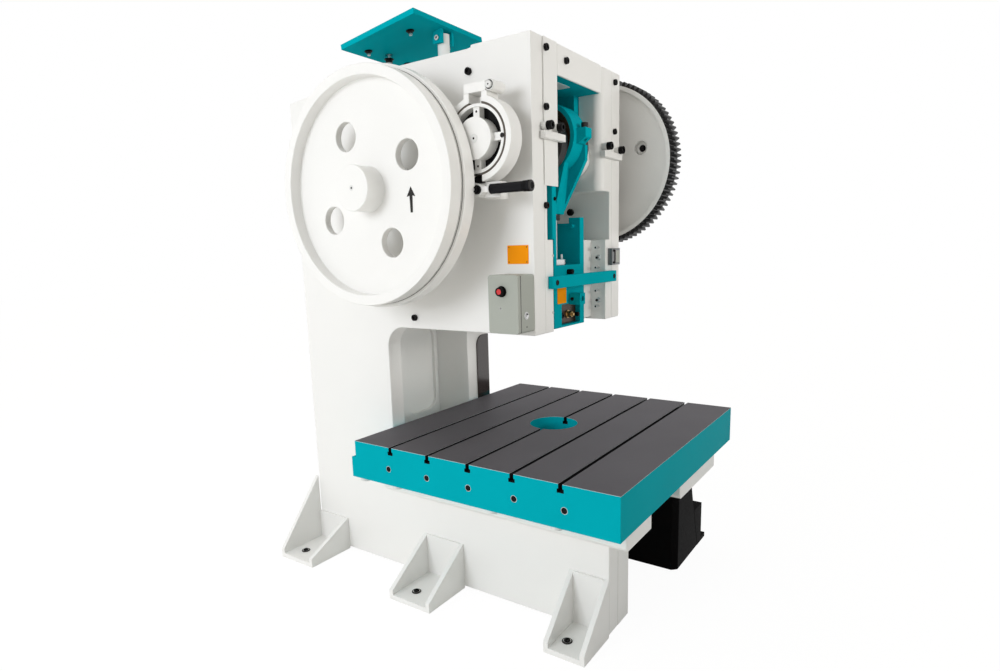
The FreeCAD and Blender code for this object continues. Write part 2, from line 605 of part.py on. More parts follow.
def ram():
    """The slide: a block with a groove each side, a pocket above and the shank bore below."""
    blank = prism("ram_blank", "XY", [
        ("-ram_half", "-ram_front"), ("ram_half", "-ram_front"),
        ("ram_half", "vee_centre - vee_half"), ("ram_half - vee_half", "vee_centre"),
        ("ram_half", "vee_centre + vee_half"), ("ram_half", "ram_back"),
        ("-ram_half", "ram_back"), ("-ram_half", "vee_centre + vee_half"),
        ("-ram_half + vee_half", "vee_centre"), ("-ram_half", "vee_centre - vee_half"),
    ], "ram_low", "ram_high")
    pocket = block("ram_pocket", "-pocket_left", "pocket_right", "-ram_front", "pocket_back",
                   "pocket_floor", "ram_high")
    cup = rod("ram_seat_bore", "z", "seat_radius + ball_gap", "seat_low", "pocket_floor", "0",
              "0")
    back = block("ram_back_step", "-ram_half", "ram_half", "-ram_arm_back", "ram_back",
                 "ram_back_high", "ram_high")
    seat = block("ram_clamp_seat", "-clamp_left", "clamp_right", "-ram_front", "0",
                 "clamp_low", "clamp_high")
    bore = rod("ram_shank_bore", "z", "shank_radius", "ram_low", "ram_low + shank_deep", "0", "0")
    keep(cut("ram", blank, pocket, cup, back, seat, bore), "ram")
    clamp = block("shank_clamp_blank", "-clamp_left", "clamp_right", "-ram_front + clamp_set",
                  "0", "clamp_low", "clamp_high")
    half_bore = rod("shank_clamp_bore", "z", "shank_radius", "clamp_low",
                    "ram_low + shank_deep", "0", "0")
    keep(cut("shank_clamp", clamp, half_bore), "shank_clamp")
    arm_front = "-ram_front - arm_reach"
    arm = block("clamp_arm_blank", "arm_across - arm_half", "arm_across + arm_half",
                arm_front, "-ram_front", "arm_height - arm_half", "arm_height + arm_half")
    hole = rod("clamp_arm_hole", "y", "arm_hole", arm_front, f"{arm_front} + arm_hole_deep",
               "arm_across", "arm_height")
    keep(cut("clamp_arm", arm, hole), "clamp_arm")


def ball_joint():
    """The ball screw, its collar, and the seat and cap that hold the ball in the ram."""
    knob = ball("ball_screw_ball", "ball_radius", "0", "0", "ball_height")
    shank = rod("ball_screw_shank", "z", "screw_radius", "ball_height", "screw_top", "0", "0")
    keep(fuse("ball_screw", knob, shank), "ball_screw")
    ring = rod("screw_collar_ring", "z", "collar_radius", "collar_low", "collar_high", "0", "0")
    bore = rod("screw_collar_bore", "z", "screw_radius + press_fit", "collar_low",
               "collar_high", "0", "0")
    keep(cut("screw_collar", ring, bore), "screw_collar")
    cup = rod("ball_seat_blank", "z", "seat_radius", "seat_low", "seat_high", "0", "0")
    socket = ball("ball_seat_socket", "ball_radius + ball_gap", "0", "0", "ball_height")
    keep(cut("ball_seat", cup, socket), "ball_seat")
    ring = rod("ball_cap_blank", "z", "seat_radius", "seat_high", "ball_cap_high", "0", "0")
    socket = ball("ball_cap_socket", "ball_radius + ball_gap", "0", "0", "ball_height")
    mouth = rod("ball_cap_mouth", "z", "ball_cap_hole", "ball_cap_hole_low", "ball_cap_high",
                "0", "0")
    keep(cut("ball_cap", ring, socket, mouth), "ball_cap")


def cap_lugs():
    return [block(f"rod_cap_lug_{side}", "-rod_lug_half", "rod_lug_half",
                  *span(side, "shell_outer", "rod_lug_reach"), PIN_HEIGHT,
                  f"{PIN_HEIGHT} + rod_lug_thick") for side in (-1, 1)]


def rod_lugs():
    """The rod's own lugs, which slope from the shoulder out to a thin edge."""
    shoulder, edge = f"{PIN_HEIGHT} - rod_lug_thick", f"{PIN_HEIGHT} - rod_lug_edge"
    return [prism(f"con_rod_lug_{side}", "YZ", [
        (f"{side} * shell_outer", shoulder), (f"{side} * rod_shoulder_half", shoulder),
        (f"{side} * rod_lug_reach", edge), (f"{side} * rod_lug_reach", PIN_HEIGHT),
        (f"{side} * shell_outer", PIN_HEIGHT),
    ], "-rod_lug_half", "rod_lug_half") for side in (-1, 1)]


def rod_holes(name):
    return [rod(f"{name}_{side}", "z", "rod_bolt_radius + rod_bolt_gap",
                f"{PIN_HEIGHT} - rod_lug_thick", f"{PIN_HEIGHT} + rod_lug_thick",
                "0", f"{side} * rod_bolt_across") for side in (-1, 1)]


def connecting_rod():
    """The rod, its cap, the split shells and the two bolts that hold the cap."""
    whole = rod("con_rod_ring", "x", "big_end_radius", "-rod_half", "rod_half", "0", PIN_HEIGHT)
    below = block("con_rod_below", "-rod_half", "rod_half", "-big_end_radius",
                  "big_end_radius", f"{PIN_HEIGHT} - big_end_radius", PIN_HEIGHT)
    half = doc.addObject("Part::Common", "con_rod_big_end")
    half.Base = whole
    half.Tool = below
    shank = []
    for word, waist, low, high in (
            ("left_flange", "rod_waist_half", "-rod_half", "-rod_web_left"),
            ("web", "rod_web_half", "-rod_web_left", "rod_web_right")):
        shank.append(prism(f"con_rod_{word}", "YZ", [
            ("-rod_tip_half", "rod_tip"), ("rod_tip_half", "rod_tip"),
            (waist, "rod_waist_high"), (f"-{waist}", "rod_waist_high"),
        ], low, high))
    shoulder = f"{PIN_HEIGHT} - rod_lug_thick"
    shank.append(prism("con_rod_right_flange", "YZ", [
        ("-rod_point_half", "rod_tip"), ("rod_point_half", "rod_tip"),
        ("rod_shoulder_half", "rod_waist_high"), ("rod_shoulder_half", shoulder),
        ("-rod_shoulder_half", shoulder), ("-rod_shoulder_half", "rod_waist_high"),
    ], "rod_web_right", "rod_half"))
    bore = rod("con_rod_bore", "x", "shell_outer + press_fit", "-rod_half", "rod_half", "0",
               PIN_HEIGHT)
    screw = rod("con_rod_screw_bore", "z", "screw_bore", "rod_tip", "screw_bore_high", "0", "0")
    keep(cut("con_rod", fuse("con_rod_blank", half, *shank, *rod_lugs()), bore, screw,
             *rod_holes("con_rod_hole")), "con_rod")
    above = block("rod_cap_above", "-rod_half", "rod_half", "-big_end_radius",
                  "big_end_radius", PIN_HEIGHT, f"{PIN_HEIGHT} + big_end_radius")
    whole = rod("rod_cap_ring", "x", "big_end_radius", "-rod_half", "rod_half", "0", PIN_HEIGHT)
    arch = doc.addObject("Part::Common", "rod_cap_arch")
    arch.Base = whole
    arch.Tool = above
    bore = rod("rod_cap_bore", "x", "shell_outer + press_fit", "-rod_half", "rod_half", "0",
               PIN_HEIGHT)
    keep(cut("rod_cap", fuse("rod_cap_blank", arch, *cap_lugs()), bore, *rod_holes("rod_cap_hole")),
         "rod_cap")
    rod_fittings()


def rod_fittings():
    shells = []
    for number, (low, high) in enumerate(((f"{PIN_HEIGHT} - shell_outer", PIN_HEIGHT),
                                          (PIN_HEIGHT, f"{PIN_HEIGHT} + shell_outer")), start=1):
        ring = rod(f"rod_shell_ring_{number}", "x", "shell_outer", "-rod_half", "rod_half", "0",
                   PIN_HEIGHT)
        bore = rod(f"rod_shell_bore_{number}", "x", "pin_radius + run_fit", "-rod_half",
                   "rod_half", "0", PIN_HEIGHT)
        side = block(f"rod_shell_side_{number}", "-rod_half", "rod_half", "-shell_outer",
                     "shell_outer", low, high)
        shell = doc.addObject("Part::Common", f"rod_shell_{number}")
        shell.Base = cut(f"rod_shell_whole_{number}", ring, bore)
        shell.Tool = side
        shells.append(shell)
    keep(group("rod_shells", *shells), "rod_shells")
    bolts = []
    for side in (-1, 1):
        place = ("0", f"{side} * rod_bolt_across")
        shank = rod(f"rod_bolt_shank_{side}", "z", "rod_bolt_radius",
                    f"{PIN_HEIGHT} - rod_bolt_deep", f"{PIN_HEIGHT} + rod_lug_thick", *place)
        head = rod(f"rod_bolt_head_{side}", "z", "rod_bolt_head",
                   f"{PIN_HEIGHT} + rod_lug_thick",
                   f"{PIN_HEIGHT} + rod_lug_thick + rod_bolt_head_high", *place)
        bolts.append(fuse(f"rod_bolt_{side}", shank, head))
    keep(group("rod_bolts", *bolts), "rod_bolts")


def crankshaft():
    """The crank, its bushes and the plate that holds the gear on its end."""
    outline = [
        ("-left_end", "0"), ("-left_end", "shaft_end_radius"),
        ("-left_shoulder", "shaft_end_radius"), ("-left_shoulder", "journal_radius"),
        ("-web_outer", "journal_radius"), ("-web_outer", "0"),
    ]
    left = turned("crankshaft_left", outline, "0", "crank_height")
    right = turned("crankshaft_right", [
        ("web_outer", "0"), ("web_outer", "journal_radius"),
        ("right_shoulder", "journal_radius"), ("right_shoulder", "shaft_end_radius"),
        ("right_end", "shaft_end_radius"), ("right_end", "0"),
    ], "0", "crank_height")
    webs = [rod(f"crankshaft_web_{side}", "x", "web_radius", *span(side, "pin_half", "web_outer"),
                "0", "crank_height + throw / 2") for side in (-1, 1)]
    pin = rod("crankshaft_pin", "x", "pin_radius", "-pin_half", "pin_half", "0", PIN_HEIGHT)
    keep(fuse("crankshaft", left, right, pin, *webs), "crankshaft")
    bushes = []
    for side in (-1, 1):
        low, high = span(side, "case_inner", "bush_end")
        ring = rod(f"crank_bush_ring_{side}", "x", "bush_outer", low, high, "0", "crank_height")
        bore = rod(f"crank_bush_bore_{side}", "x", "journal_radius + run_fit", low, high, "0",
                   "crank_height")
        bushes.append(cut(f"crank_bush_{side}", ring, bore))
    keep(group("crank_bushes", *bushes), "crank_bushes")
    keep(rod("gear_end_cap", "x", "end_cap_radius", "right_end", "right_end + end_cap_thick",
             "0", "crank_height"), "gear_end_cap")


def involute(angle):
    return math.tan(angle) - angle


def toothed_outline(teeth, turn, x, y, z):
    """The outline of a spur wheel across X, one tooth's middle at the angle turn."""
    module = value("module_size")
    pressure = math.radians(value("pressure_angle"))
    pitch = module * teeth / 2
    base = pitch * math.cos(pressure)
    root, tip = pitch - 1.25 * module, pitch + module
    half_pitch = math.pi / (2 * teeth) - value("backlash") / (4 * pitch) + involute(pressure)
    radii = [root, pitch, tip]
    widths = [half_pitch - involute(math.acos(min(1, base / radius))) for radius in radii]
    points = []
    for tooth in range(teeth):
        middle = turn + 2 * math.pi * tooth / teeth
        flank = [(radius, middle - width) for radius, width in zip(radii, widths)]
        flank += [(radius, middle + width) for radius, width in zip(radii[::-1], widths[::-1])]
        points += [FreeCAD.Vector(x, y + radius * math.cos(angle), z + radius * math.sin(angle))
                   for radius, angle in flank]
    return Part.makePolygon(points + points[:1])


def toothed_ring(name, teeth, turn, low, high, inner, y, z):
    """A ring of involute teeth along X, with a round hole, set in code from the sheet."""
    x_low, x_high = value(low), value(high)
    y_centre, z_centre = value(y), value(z)
    outline = toothed_outline(teeth, turn, x_low, y_centre, z_centre)
    hole = Part.makeCircle(value(inner), FreeCAD.Vector(x_low, y_centre, z_centre),
                           FreeCAD.Vector(1, 0, 0))
    face = Part.makeFace([outline, Part.Wire(hole)], "Part::FaceMakerBullseye")
    ring = doc.addObject("Part::Feature", name)
    ring.Shape = face.extrude(FreeCAD.Vector(x_high - x_low, 0, 0))
    return ring


def gears():
    """The big gear and its pinion, in mesh on the line between their centres."""
    drop = math.radians(value("mesh_drop"))
    teeth, pinion_teeth = int(value("gear_teeth")), int(value("pinion_teeth"))
    half_space = math.pi / pinion_teeth
    ring = toothed_ring("gear_ring", teeth, -drop, "gear_left", "gear_right", "gear_rim_inner",
                        "0", "crank_height")
    web = turned("gear_web", [
        ("gear_hub_left", "shaft_end_radius + run_fit"), ("gear_hub_left", "gear_hub_radius"),
        ("gear_web_left", "gear_hub_radius"), ("gear_web_left", "gear_rim_inner + gear_web_bite"),
        ("gear_web_right", "gear_rim_inner + gear_web_bite"),
        ("gear_web_right", "gear_hub_radius"),
        ("gear_hub_right", "gear_hub_radius"), ("gear_hub_right", "shaft_end_radius + run_fit"),
    ], "0", "crank_height")
    holes = []
    for number in range(int(value("gear_holes"))):
        angle = f"gear_hole_turn + {number} * 360 / gear_holes"
        holes.append(rod(f"gear_hole_{number + 1}", "x", "gear_hole", "gear_web_left",
                         "gear_web_right", f"gear_hole_pitch * cos({angle})",
                         f"crank_height + gear_hole_pitch * sin({angle})"))
    keep(cut("gear", fuse("gear_blank", ring, web), *holes), "gear")
    keep(toothed_ring("pinion", pinion_teeth, math.pi - drop + half_space,
                      "gear_left - pinion_extra", "gear_right + pinion_extra",
                      "drive_radius + press_fit", DRIVE_Y, DRIVE_Z), "pinion")


def drive():
    """The flywheel, its shaft and the two flanged bearings in the side plates."""
    rim = turned("flywheel_blank", [
        ("-wheel_hub_front", "0"), ("-wheel_hub_front", "wheel_hub"),
        ("-wheel_web_front", "wheel_hub"), ("-wheel_web_front", "wheel_bore_rim"),
        ("-wheel_front", "wheel_bore_rim"), ("-wheel_front", "wheel_rim"),
        ("-groove_front", "wheel_rim"), ("-groove_front", "groove_floor"),
        ("-groove_rear", "groove_floor"), ("-groove_rear", "wheel_flange"),
        ("-wheel_rear", "wheel_flange"), ("-wheel_rear", "wheel_bore_rim"),
        ("-wheel_web_rear", "wheel_bore_rim"), ("-wheel_web_rear", "wheel_hub"),
        ("-wheel_rear", "wheel_hub"), ("-wheel_rear", "drive_radius + press_fit"),
        ("-drive_left_end", "drive_radius + press_fit"), ("-drive_left_end", "0"),
    ], DRIVE_Y, DRIVE_Z)
    holes = []
    for number in range(int(value("wheel_holes"))):
        angle = f"wheel_hole_turn + {number} * 360 / wheel_holes"
        holes.append(rod(f"flywheel_hole_{number + 1}", "x", "wheel_hole", "-wheel_web_front",
                         "-wheel_web_rear", f"{DRIVE_Y} + wheel_hole_pitch * cos({angle})",
                         f"{DRIVE_Z} + wheel_hole_pitch * sin({angle})"))
    keep(cut("flywheel", rim, *holes), "flywheel")
    keep(rod("drive_shaft", "x", "drive_radius", "-drive_left_end", "gear_right + pinion_extra",
             DRIVE_Y, DRIVE_Z), "drive_shaft")
    bearings = []
    for side in (-1, 1):
        inside, outside = f"{side} * plate_inner", f"{side} * plate_outer"
        face = f"{side} * (plate_outer + bearing_flange_thick)"
        bearings.append(turned(f"shaft_bearing_{side}", [
            (inside, "drive_radius + run_fit"), (inside, "bearing_radius"),
            (outside, "bearing_radius"), (outside, "bearing_flange"),
            (face, "bearing_flange"), (face, "drive_radius + run_fit"),
        ], DRIVE_Y, DRIVE_Z))
    keep(group("shaft_bearings", *bearings), "shaft_bearings")


def half_band(name, side, inner, outer):
    """One half of a band round the drum, open a little above and below."""
    ring = rod(f"{name}_ring", "x", outer, "-drum_left", "-shoe_right", "0", "crank_height")
    bore = rod(f"{name}_bore", "x", inner, "-drum_left", "-shoe_right", "0", "crank_height")
    reach = "shoe_outer + shoe_cut_spare"
    low, high = (f"-({reach})", "-shoe_gap_half") if side < 0 else ("shoe_gap_half", reach)
    upper = block(f"{name}_upper", "-drum_left", "-shoe_right", low, high, "crank_height",
                  f"crank_height + {reach}")
    low, high = (f"-({reach})", "-shoe_foot_gap") if side < 0 else ("shoe_foot_gap", reach)
    lower = block(f"{name}_lower", "-drum_left", "-shoe_right", low, high,
                  f"crank_height - ({reach})", "crank_height")
    band = doc.addObject("Part::Common", name)
    band.Base = cut(f"{name}_whole", ring, bore)
    band.Tool = fuse(f"{name}_side", upper, lower)
    return band


def brake_band():
    shoes, linings = [], []
    for side, word in ((-1, "front"), (1, "rear")):
        band = half_band(f"{word}_shoe_band", side, "shoe_inner + press_fit", "shoe_outer")
        low, high = ("-shoe_gap_half - ear_wide", "-shoe_gap_half")
        if side > 0:
            low, high = ("shoe_gap_half", "shoe_gap_half + ear_wide")
        ear = block(f"{word}_shoe_ear", "-drum_left", "-shoe_right", low, high,
                    "crank_height + (shoe_inner + shoe_outer) / 2", "ear_high")
        shoes.append(fuse(f"{word}_shoe", band, ear))
        linings.append(half_band(f"{word}_lining", side, "lining_inner", "shoe_inner"))
    keep(group("brake_shoes", *shoes), "brake_shoes")
    keep(group("brake_linings", *linings), "brake_linings")
    bar = block("brake_tie_bar", "-drum_left", "-shoe_right", "-tie_front", "tie_back",
                "ear_high", "tie_high")
    tube = rod("brake_tie_tube", "x", "spring_radius", "-drum_left", "-shoe_right",
               "-spring_front", "spring_height")
    keep(fuse("brake_tie", bar, tube), "brake_tie")


def brake_drum():
    body = turned("brake_drum_hub", [
        ("-drum_cap_front", "0"), ("-drum_cap_front", "drum_hub"),
        ("-left_shoulder", "drum_hub"), ("-left_shoulder", "shaft_end_radius + press_fit"),
        ("-left_end", "shaft_end_radius + press_fit"), ("-left_end", "0"),
    ], "0", "crank_height")
    rim = turned("brake_drum_rim", [
        ("-drum_left", "drum_radius - drum_rim_thick"), ("-drum_left", "drum_radius"),
        ("-shoe_right", "drum_radius"), ("-shoe_right", "drum_radius - drum_rim_thick"),
    ], "0", "crank_height")
    reach = "drum_radius - drum_rim_thick / 2"
    hub_bite = "drum_hub - drum_rim_thick / 2"
    spokes = []
    for side in (-1, 1):
        low, high = span(side, hub_bite, reach)
        spokes.append(block(f"brake_spoke_upright_{side}", "-spoke_left", "-shoe_right",
                            "-spoke_wide / 2", "spoke_wide / 2",
                            f"crank_height + {low}", f"crank_height + {high}"))
        spokes.append(block(f"brake_spoke_level_{side}", "-spoke_left", "-shoe_right",
                            low, high, "crank_height - spoke_wide / 2",
                            "crank_height + spoke_wide / 2"))
    keep(fuse("brake_drum", body, rim, *spokes), "brake_drum")


def brake_lever():
    """The bracket under the band and the hand lever on it."""
    base = block("brake_bracket_base", "-mount_left", "-mount_right", "-mount_front",
                 "mount_back", "mount_low", "mount_high")
    stem = block("brake_bracket_stem", "-mount_right", "-plate_outer", "-mount_stem_front",
                 "mount_back", "mount_low", "mount_high")
    tongue = block("brake_bracket_tongue", "-mount_left", "-mount_right", "-tongue_front",
                   "mount_back", "mount_high", "tongue_high")
    hole = rod("brake_bracket_hole", "x", "lever_pin + press_fit", "-mount_left",
               "-plate_outer", "-lever_across", "lever_height")
    keep(cut("brake_bracket", fuse("brake_bracket_blank", base, stem, tongue), hole),
         "brake_bracket")
    keep(rod("lever_pin_rod", "x", "lever_pin", "-lever_left", "-plate_outer",
             "-lever_across", "lever_height"), "lever_pin")
    hub_right = "-mount_left - lever_gap"
    hub = rod("brake_handle_hub", "x", "lever_hub", "-lever_left", hub_right, "-lever_across",
              "lever_height")
    arm = block("brake_handle_arm", "-grip_centre - lever_half", "-grip_centre + lever_half",
                "-grip_end", "-lever_across", "lever_height - lever_half",
                "lever_height + lever_half")
    hole = rod("brake_handle_hole", "x", "lever_pin + run_fit", "-lever_left", hub_right,
               "-lever_across", "lever_height")
    keep(cut("brake_handle", fuse("brake_handle_blank", hub, arm), hole), "brake_handle")
    tube = rod("brake_grip_tube", "y", "grip_radius", "-grip_end", "-grip_start",
               "-grip_centre", "lever_height")
    collar = rod("brake_grip_collar", "y", "grip_collar", "-grip_end - grip_collar_long",
                 "-grip_end", "-grip_centre", "lever_height")
    core = block("brake_grip_core", "-grip_centre - lever_half", "-grip_centre + lever_half",
                 "-grip_end", "-grip_start", "lever_height - lever_half",
                 "lever_height + lever_half")
    keep(cut("brake_grip", fuse("brake_grip_blank", tube, collar), core), "brake_grip")


def rounded_box(name, x_low, x_high, inset):
    """A box with round corners seen from the side, set in from the control box's outline."""
    radius = f"box_round - {inset}"
    return prism(name, "YZ", [
        (f"-box_front + {inset}", f"box_low + {inset}", radius),
        (f"-box_back - {inset}", f"box_low + {inset}", radius),
        (f"-box_back - {inset}", f"box_high - {inset}", radius),
        (f"-box_front + {inset}", f"box_high - {inset}", radius),
    ], x_low, x_high)


def control_box():
    outer = rounded_box("box_body_outer", "-box_left", "-plate_outer", "0")
    inner = rounded_box("box_body_inner", "-box_left", "-plate_outer - box_wall", "box_wall")
    keep(cut("box_body", outer, inner), "box_body")
    outer = rounded_box("box_lid_outer", "-lid_left", "-box_left - lid_gap", "0")
    inner = rounded_box("box_lid_inner", "-lid_left + box_wall", "-box_left - lid_gap",
                        "box_wall")
    place = ("-button_across", "button_height")
    hole = rod("box_lid_hole", "x", "button_stem + button_gap", "-lid_left",
               "-lid_left + box_wall", *place)
    keep(cut("box_lid", outer, inner, hole), "box_lid")
    bezel_front = "-lid_left - bezel_thick"
    ring = rod("button_bezel_ring", "x", "bezel_radius", bezel_front, "-lid_left", *place)
    bore = rod("button_bezel_bore", "x", "button_stem + button_gap", bezel_front, "-lid_left",
               *place)
    keep(cut("button_bezel", ring, bore), "button_bezel")
    head_rear = f"{bezel_front} - button_travel"
    head = rod("stop_button_head", "x", "button_radius", f"{head_rear} - button_head_high",
               head_rear, *place)
    stem = rod("stop_button_stem", "x", "button_stem", head_rear, "-button_stem_inner", *place)
    keep(fuse("stop_button", head, stem), "stop_button")
    disc = rod("box_latch_disc", "y", "latch_radius", "-box_front - latch_thick", "-box_front",
               "-latch_across", "latch_height")
    bar = block("box_latch_bar", "-latch_across - latch_radius + latch_bar_half",
                "-latch_across + latch_radius - latch_bar_half",
                "-box_front - 2 * latch_thick", "-box_front - latch_thick",
                "latch_height - latch_bar_half", "latch_height + latch_bar_half")
    keep(fuse("box_latch", disc, bar), "box_latch")


def on_plate(along, out):
    """Y and Z of a place on the motor plate's underside, and how far it stands out from it."""
    return (f"motor_front + ({along}) * cos(motor_tilt) + ({out}) * sin(motor_tilt)",
            f"motor_front_low - ({along}) * sin(motor_tilt) + ({out}) * cos(motor_tilt)")


def plate_hole(name, x, along):
    """A bolt hole square to the motor plate."""
    hole = doc.addObject("Part::Cylinder", name)
    lean = FreeCAD.Rotation(FreeCAD.Vector(-1, 0, 0), value("motor_tilt"))
    hole.Placement = FreeCAD.Placement(FreeCAD.Vector(), lean)
    tie(hole, "Placement.Rotation.Angle", "motor_tilt")
    tie(hole, "Radius", "motor_hole")
    tie(hole, "Height", "motor_hole_long")
    locate(hole, x, *on_plate(along, "-motor_thick"))
    return hole


def motor_plate():
    """The sloping plate that a motor bolts to, with the two ears it tilts on."""
    slab = prism("motor_plate_slab", "YZ", [
        on_plate("0", "0"), on_plate("motor_long", "0"),
        on_plate("motor_long", "motor_thick"), on_plate("0", "motor_thick"),
    ], "-motor_left", "motor_right")
    under = "motor_front_low - ({} - motor_front) * tan(motor_tilt)"
    front, back = "(post_back - hinge_ear_half)", "(post_back + hinge_ear_half)"
    ears = []
    for side, word in ((-1, "left"), (1, "right")):
        near = f"-post_across + {side} * (post_radius + hinge_ear_gap)"
        far = f"{near} + {side} * hinge_ear_thick"
        low, high = (near, far) if side > 0 else (far, near)
        ears.append(prism(f"motor_plate_{word}_ear", "YZ", [
            (front, "hinge_ear_low"), (back, "hinge_ear_low"),
            (back, under.format(back)), (front, under.format(front)),
        ], low, high))
    holes = [rod("motor_plate_pin_hole", "x", "hinge_pin + run_fit", "-motor_left",
                 "motor_right", "post_back", "hinge_height"),
             rod("motor_plate_adjuster_hole", "z", "adjuster_hole", "rear_top",
                 "adjuster_top", "-adjuster_across", "adjuster_back")]
    for side in (-1, 1):
        across = f"(motor_right - motor_left) / 2 + {side} * motor_hole_out"
        for along in ("motor_hole_front", "motor_hole_rear"):
            holes.append(plate_hole(f"motor_bolt_hole_{len(holes)}", across, along))
    keep(cut("motor_plate", fuse("motor_plate_blank", slab, *ears), *holes), "motor_plate")


def motor_supports():
    """The post and pin that the motor plate tilts on, and the rod that sets its slope."""
    deck = "case_top + top_plate_thick"
    post = rod("motor_post_blank", "z", "post_radius", deck, "post_top", "-post_across",
               "post_back")
    hole = rod("motor_post_hole", "x", "hinge_pin + press_fit", "-post_across - post_radius",
               "-post_across + post_radius", "post_back", "hinge_height")
    keep(cut("motor_post", post, hole), "motor_post")
    reach = "post_radius + hinge_ear_gap + hinge_ear_thick + hinge_pin_out"
    keep(rod("hinge_pin_rod", "x", "hinge_pin", f"-post_across - ({reach})",
             f"-post_across + {reach}", "post_back", "hinge_height"), "hinge_pin")
    keep(rod("adjusting_rod", "z", "adjuster_radius", deck, "adjuster_top",
             "-adjuster_across", "adjuster_back"), "adjusting_rod")


def check_and_write():
    """Refuse a failed or empty shape, then write every sub-part to its own file."""
    doc.recompute()
    for thing in doc.Objects:
        if "Invalid" in thing.State or "Error" in thing.State:
            raise RuntimeError(f"{thing.Name} failed: {thing.State}")
    os.makedirs("parts", exist_ok=True)
    for thing in nodes:
        shape = thing.Shape
        if shape.isNull() or not shape.isValid() or not shape.Solids:
            raise RuntimeError(f"{thing.Label} has no valid shape")
        shape.exportStep(f"parts/{thing.Label}.step")
        print(f"{thing.Label}: {len(shape.Solids)} solids, {shape.Volume / 1e6:.3f} litres")


fill_sheet()
side_plate(-1, "left_side_plate", "arm_front")
side_plate(1, "right_side_plate", "right_arm_front")
cross_plates()
column(-1, "left_column", False)
column(1, "right_column", True)
crank_case()
head_fronts()
legs()
feet()
bed_rails()
bolster()
column_fronts()
gibs()
ram()
ball_joint()
connecting_rod()
crankshaft()
gears()
drive()
brake_band()
brake_drum()
brake_lever()
control_box()
motor_plate()
motor_supports()
check_and_write()
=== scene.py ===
import json
import math
from functools import partial

import bmesh
import bpy
from mathutils import Matrix, Vector

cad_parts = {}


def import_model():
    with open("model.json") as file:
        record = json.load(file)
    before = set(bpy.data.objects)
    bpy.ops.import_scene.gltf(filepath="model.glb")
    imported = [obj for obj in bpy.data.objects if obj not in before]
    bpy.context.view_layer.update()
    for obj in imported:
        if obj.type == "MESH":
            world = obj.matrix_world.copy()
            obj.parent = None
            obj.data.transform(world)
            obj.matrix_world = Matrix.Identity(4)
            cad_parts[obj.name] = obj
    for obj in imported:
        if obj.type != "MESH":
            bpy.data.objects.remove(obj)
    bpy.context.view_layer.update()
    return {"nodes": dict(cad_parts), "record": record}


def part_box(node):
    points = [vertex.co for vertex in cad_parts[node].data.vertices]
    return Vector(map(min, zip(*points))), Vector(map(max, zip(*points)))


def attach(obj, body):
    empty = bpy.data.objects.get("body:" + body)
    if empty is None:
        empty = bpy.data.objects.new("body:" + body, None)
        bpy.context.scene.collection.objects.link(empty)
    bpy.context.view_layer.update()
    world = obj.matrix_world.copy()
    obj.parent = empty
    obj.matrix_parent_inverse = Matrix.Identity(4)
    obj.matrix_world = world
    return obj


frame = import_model()

MM = 0.001
# The camera that took the photograph, in millimetres, degrees and pixels of its 1000 by 671 frame.
CAMERA_PLACE = (-2696.4, -1551.0, 1655.8)
CAMERA_YAW = 55.636
CAMERA_PITCH = 9.919
CAMERA_ROLL = -1.489
FOCAL_PIXELS = 632.2
CENTRE_PIXEL = (504.5, 359.6)
FRAME_PIXELS = (1000, 671)
SENSOR = 36.0

SHARP_ANGLE = math.radians(30)
# Most of a noise signal lies between these two values.
NOISE_LOW, NOISE_HIGH = 0.3, 0.7
# A texture's scale along the three axes, where its grain has no direction.
EVEN = (1, 1, 1)
# The usual specular level and refractive index, and the index of a finish that mirrors little.
USUAL_GLOSS, USUAL_IOR, DULL_IOR = 0.5, 1.5, 1.06
COAT_ROUGHNESS = 0.12
# Finishes that no CAD node has, with the nearest material slot, or None where none is near.
SLOT_OF = {"clean_brass": "bearing_brass", "orange_plate": None}

# Colours, as linear red, green and blue.
WHITE = (0.87, 0.865, 0.84)
TEAL = (0.0006, 0.38, 0.445)
BLACK = (0.0055, 0.0052, 0.0055)
GROUND = (0.128, 0.122, 0.132)
BRIGHT = (0.66, 0.66, 0.655)
DARK_STEEL = (0.030, 0.028, 0.027)
BRASS = (0.50, 0.33, 0.13)
LINING = (0.10, 0.085, 0.07)
RUBBER = (0.0045, 0.0045, 0.006)
BOX_GREY = (0.38, 0.40, 0.355)
RED = (0.62, 0.012, 0.015)
COVER = (0.030, 0.020, 0.016)
SMOKE = (0.13, 0.14, 0.145)
ORANGE = (0.95, 0.32, 0.008)
BRONZE = (0.050, 0.026, 0.013)
BARE_EDGE = (0.72, 0.73, 0.73)
OILED = (0.018, 0.017, 0.017)
PALE_PLASTIC = (0.74, 0.74, 0.72)
FLOOR = (0.86, 0.85, 0.82)
COOL_LIGHT = (0.95, 0.985, 1.05)
WARM_LIGHT = (1.0, 0.98, 0.95)
ROOM_LIGHT = (1.0, 0.98, 0.945)
PURE_WHITE = (1.0, 1.0, 1.0)


# ---------------------------------------------------------------- materials

def begin(name):
    """A material with its nodes, links and shader."""
    material = bpy.data.materials.new(name)
    material.use_nodes = True
    nodes, links = material.node_tree.nodes, material.node_tree.links
    return material, nodes, links, nodes["Principled BSDF"]


def place_node(nodes, links, scale=EVEN):
    """Object coordinates, scaled unevenly where a grain needs it."""
    coordinates = nodes.new("ShaderNodeTexCoord")
    mapping = nodes.new("ShaderNodeMapping")
    mapping.inputs["Scale"].default_value = scale
    links.new(coordinates.outputs["Object"], mapping.inputs["Vector"])
    return mapping.outputs["Vector"]


def noise(nodes, links, where, scale, detail=3.0, rough=0.55):
    """A noise signal at a place in the object's coordinates."""
    texture = nodes.new("ShaderNodeTexNoise")
    texture.inputs["Scale"].default_value = scale
    texture.inputs["Detail"].default_value = detail
    texture.inputs["Roughness"].default_value = rough
    links.new(where, texture.inputs["Vector"])
    return texture.outputs["Fac"]


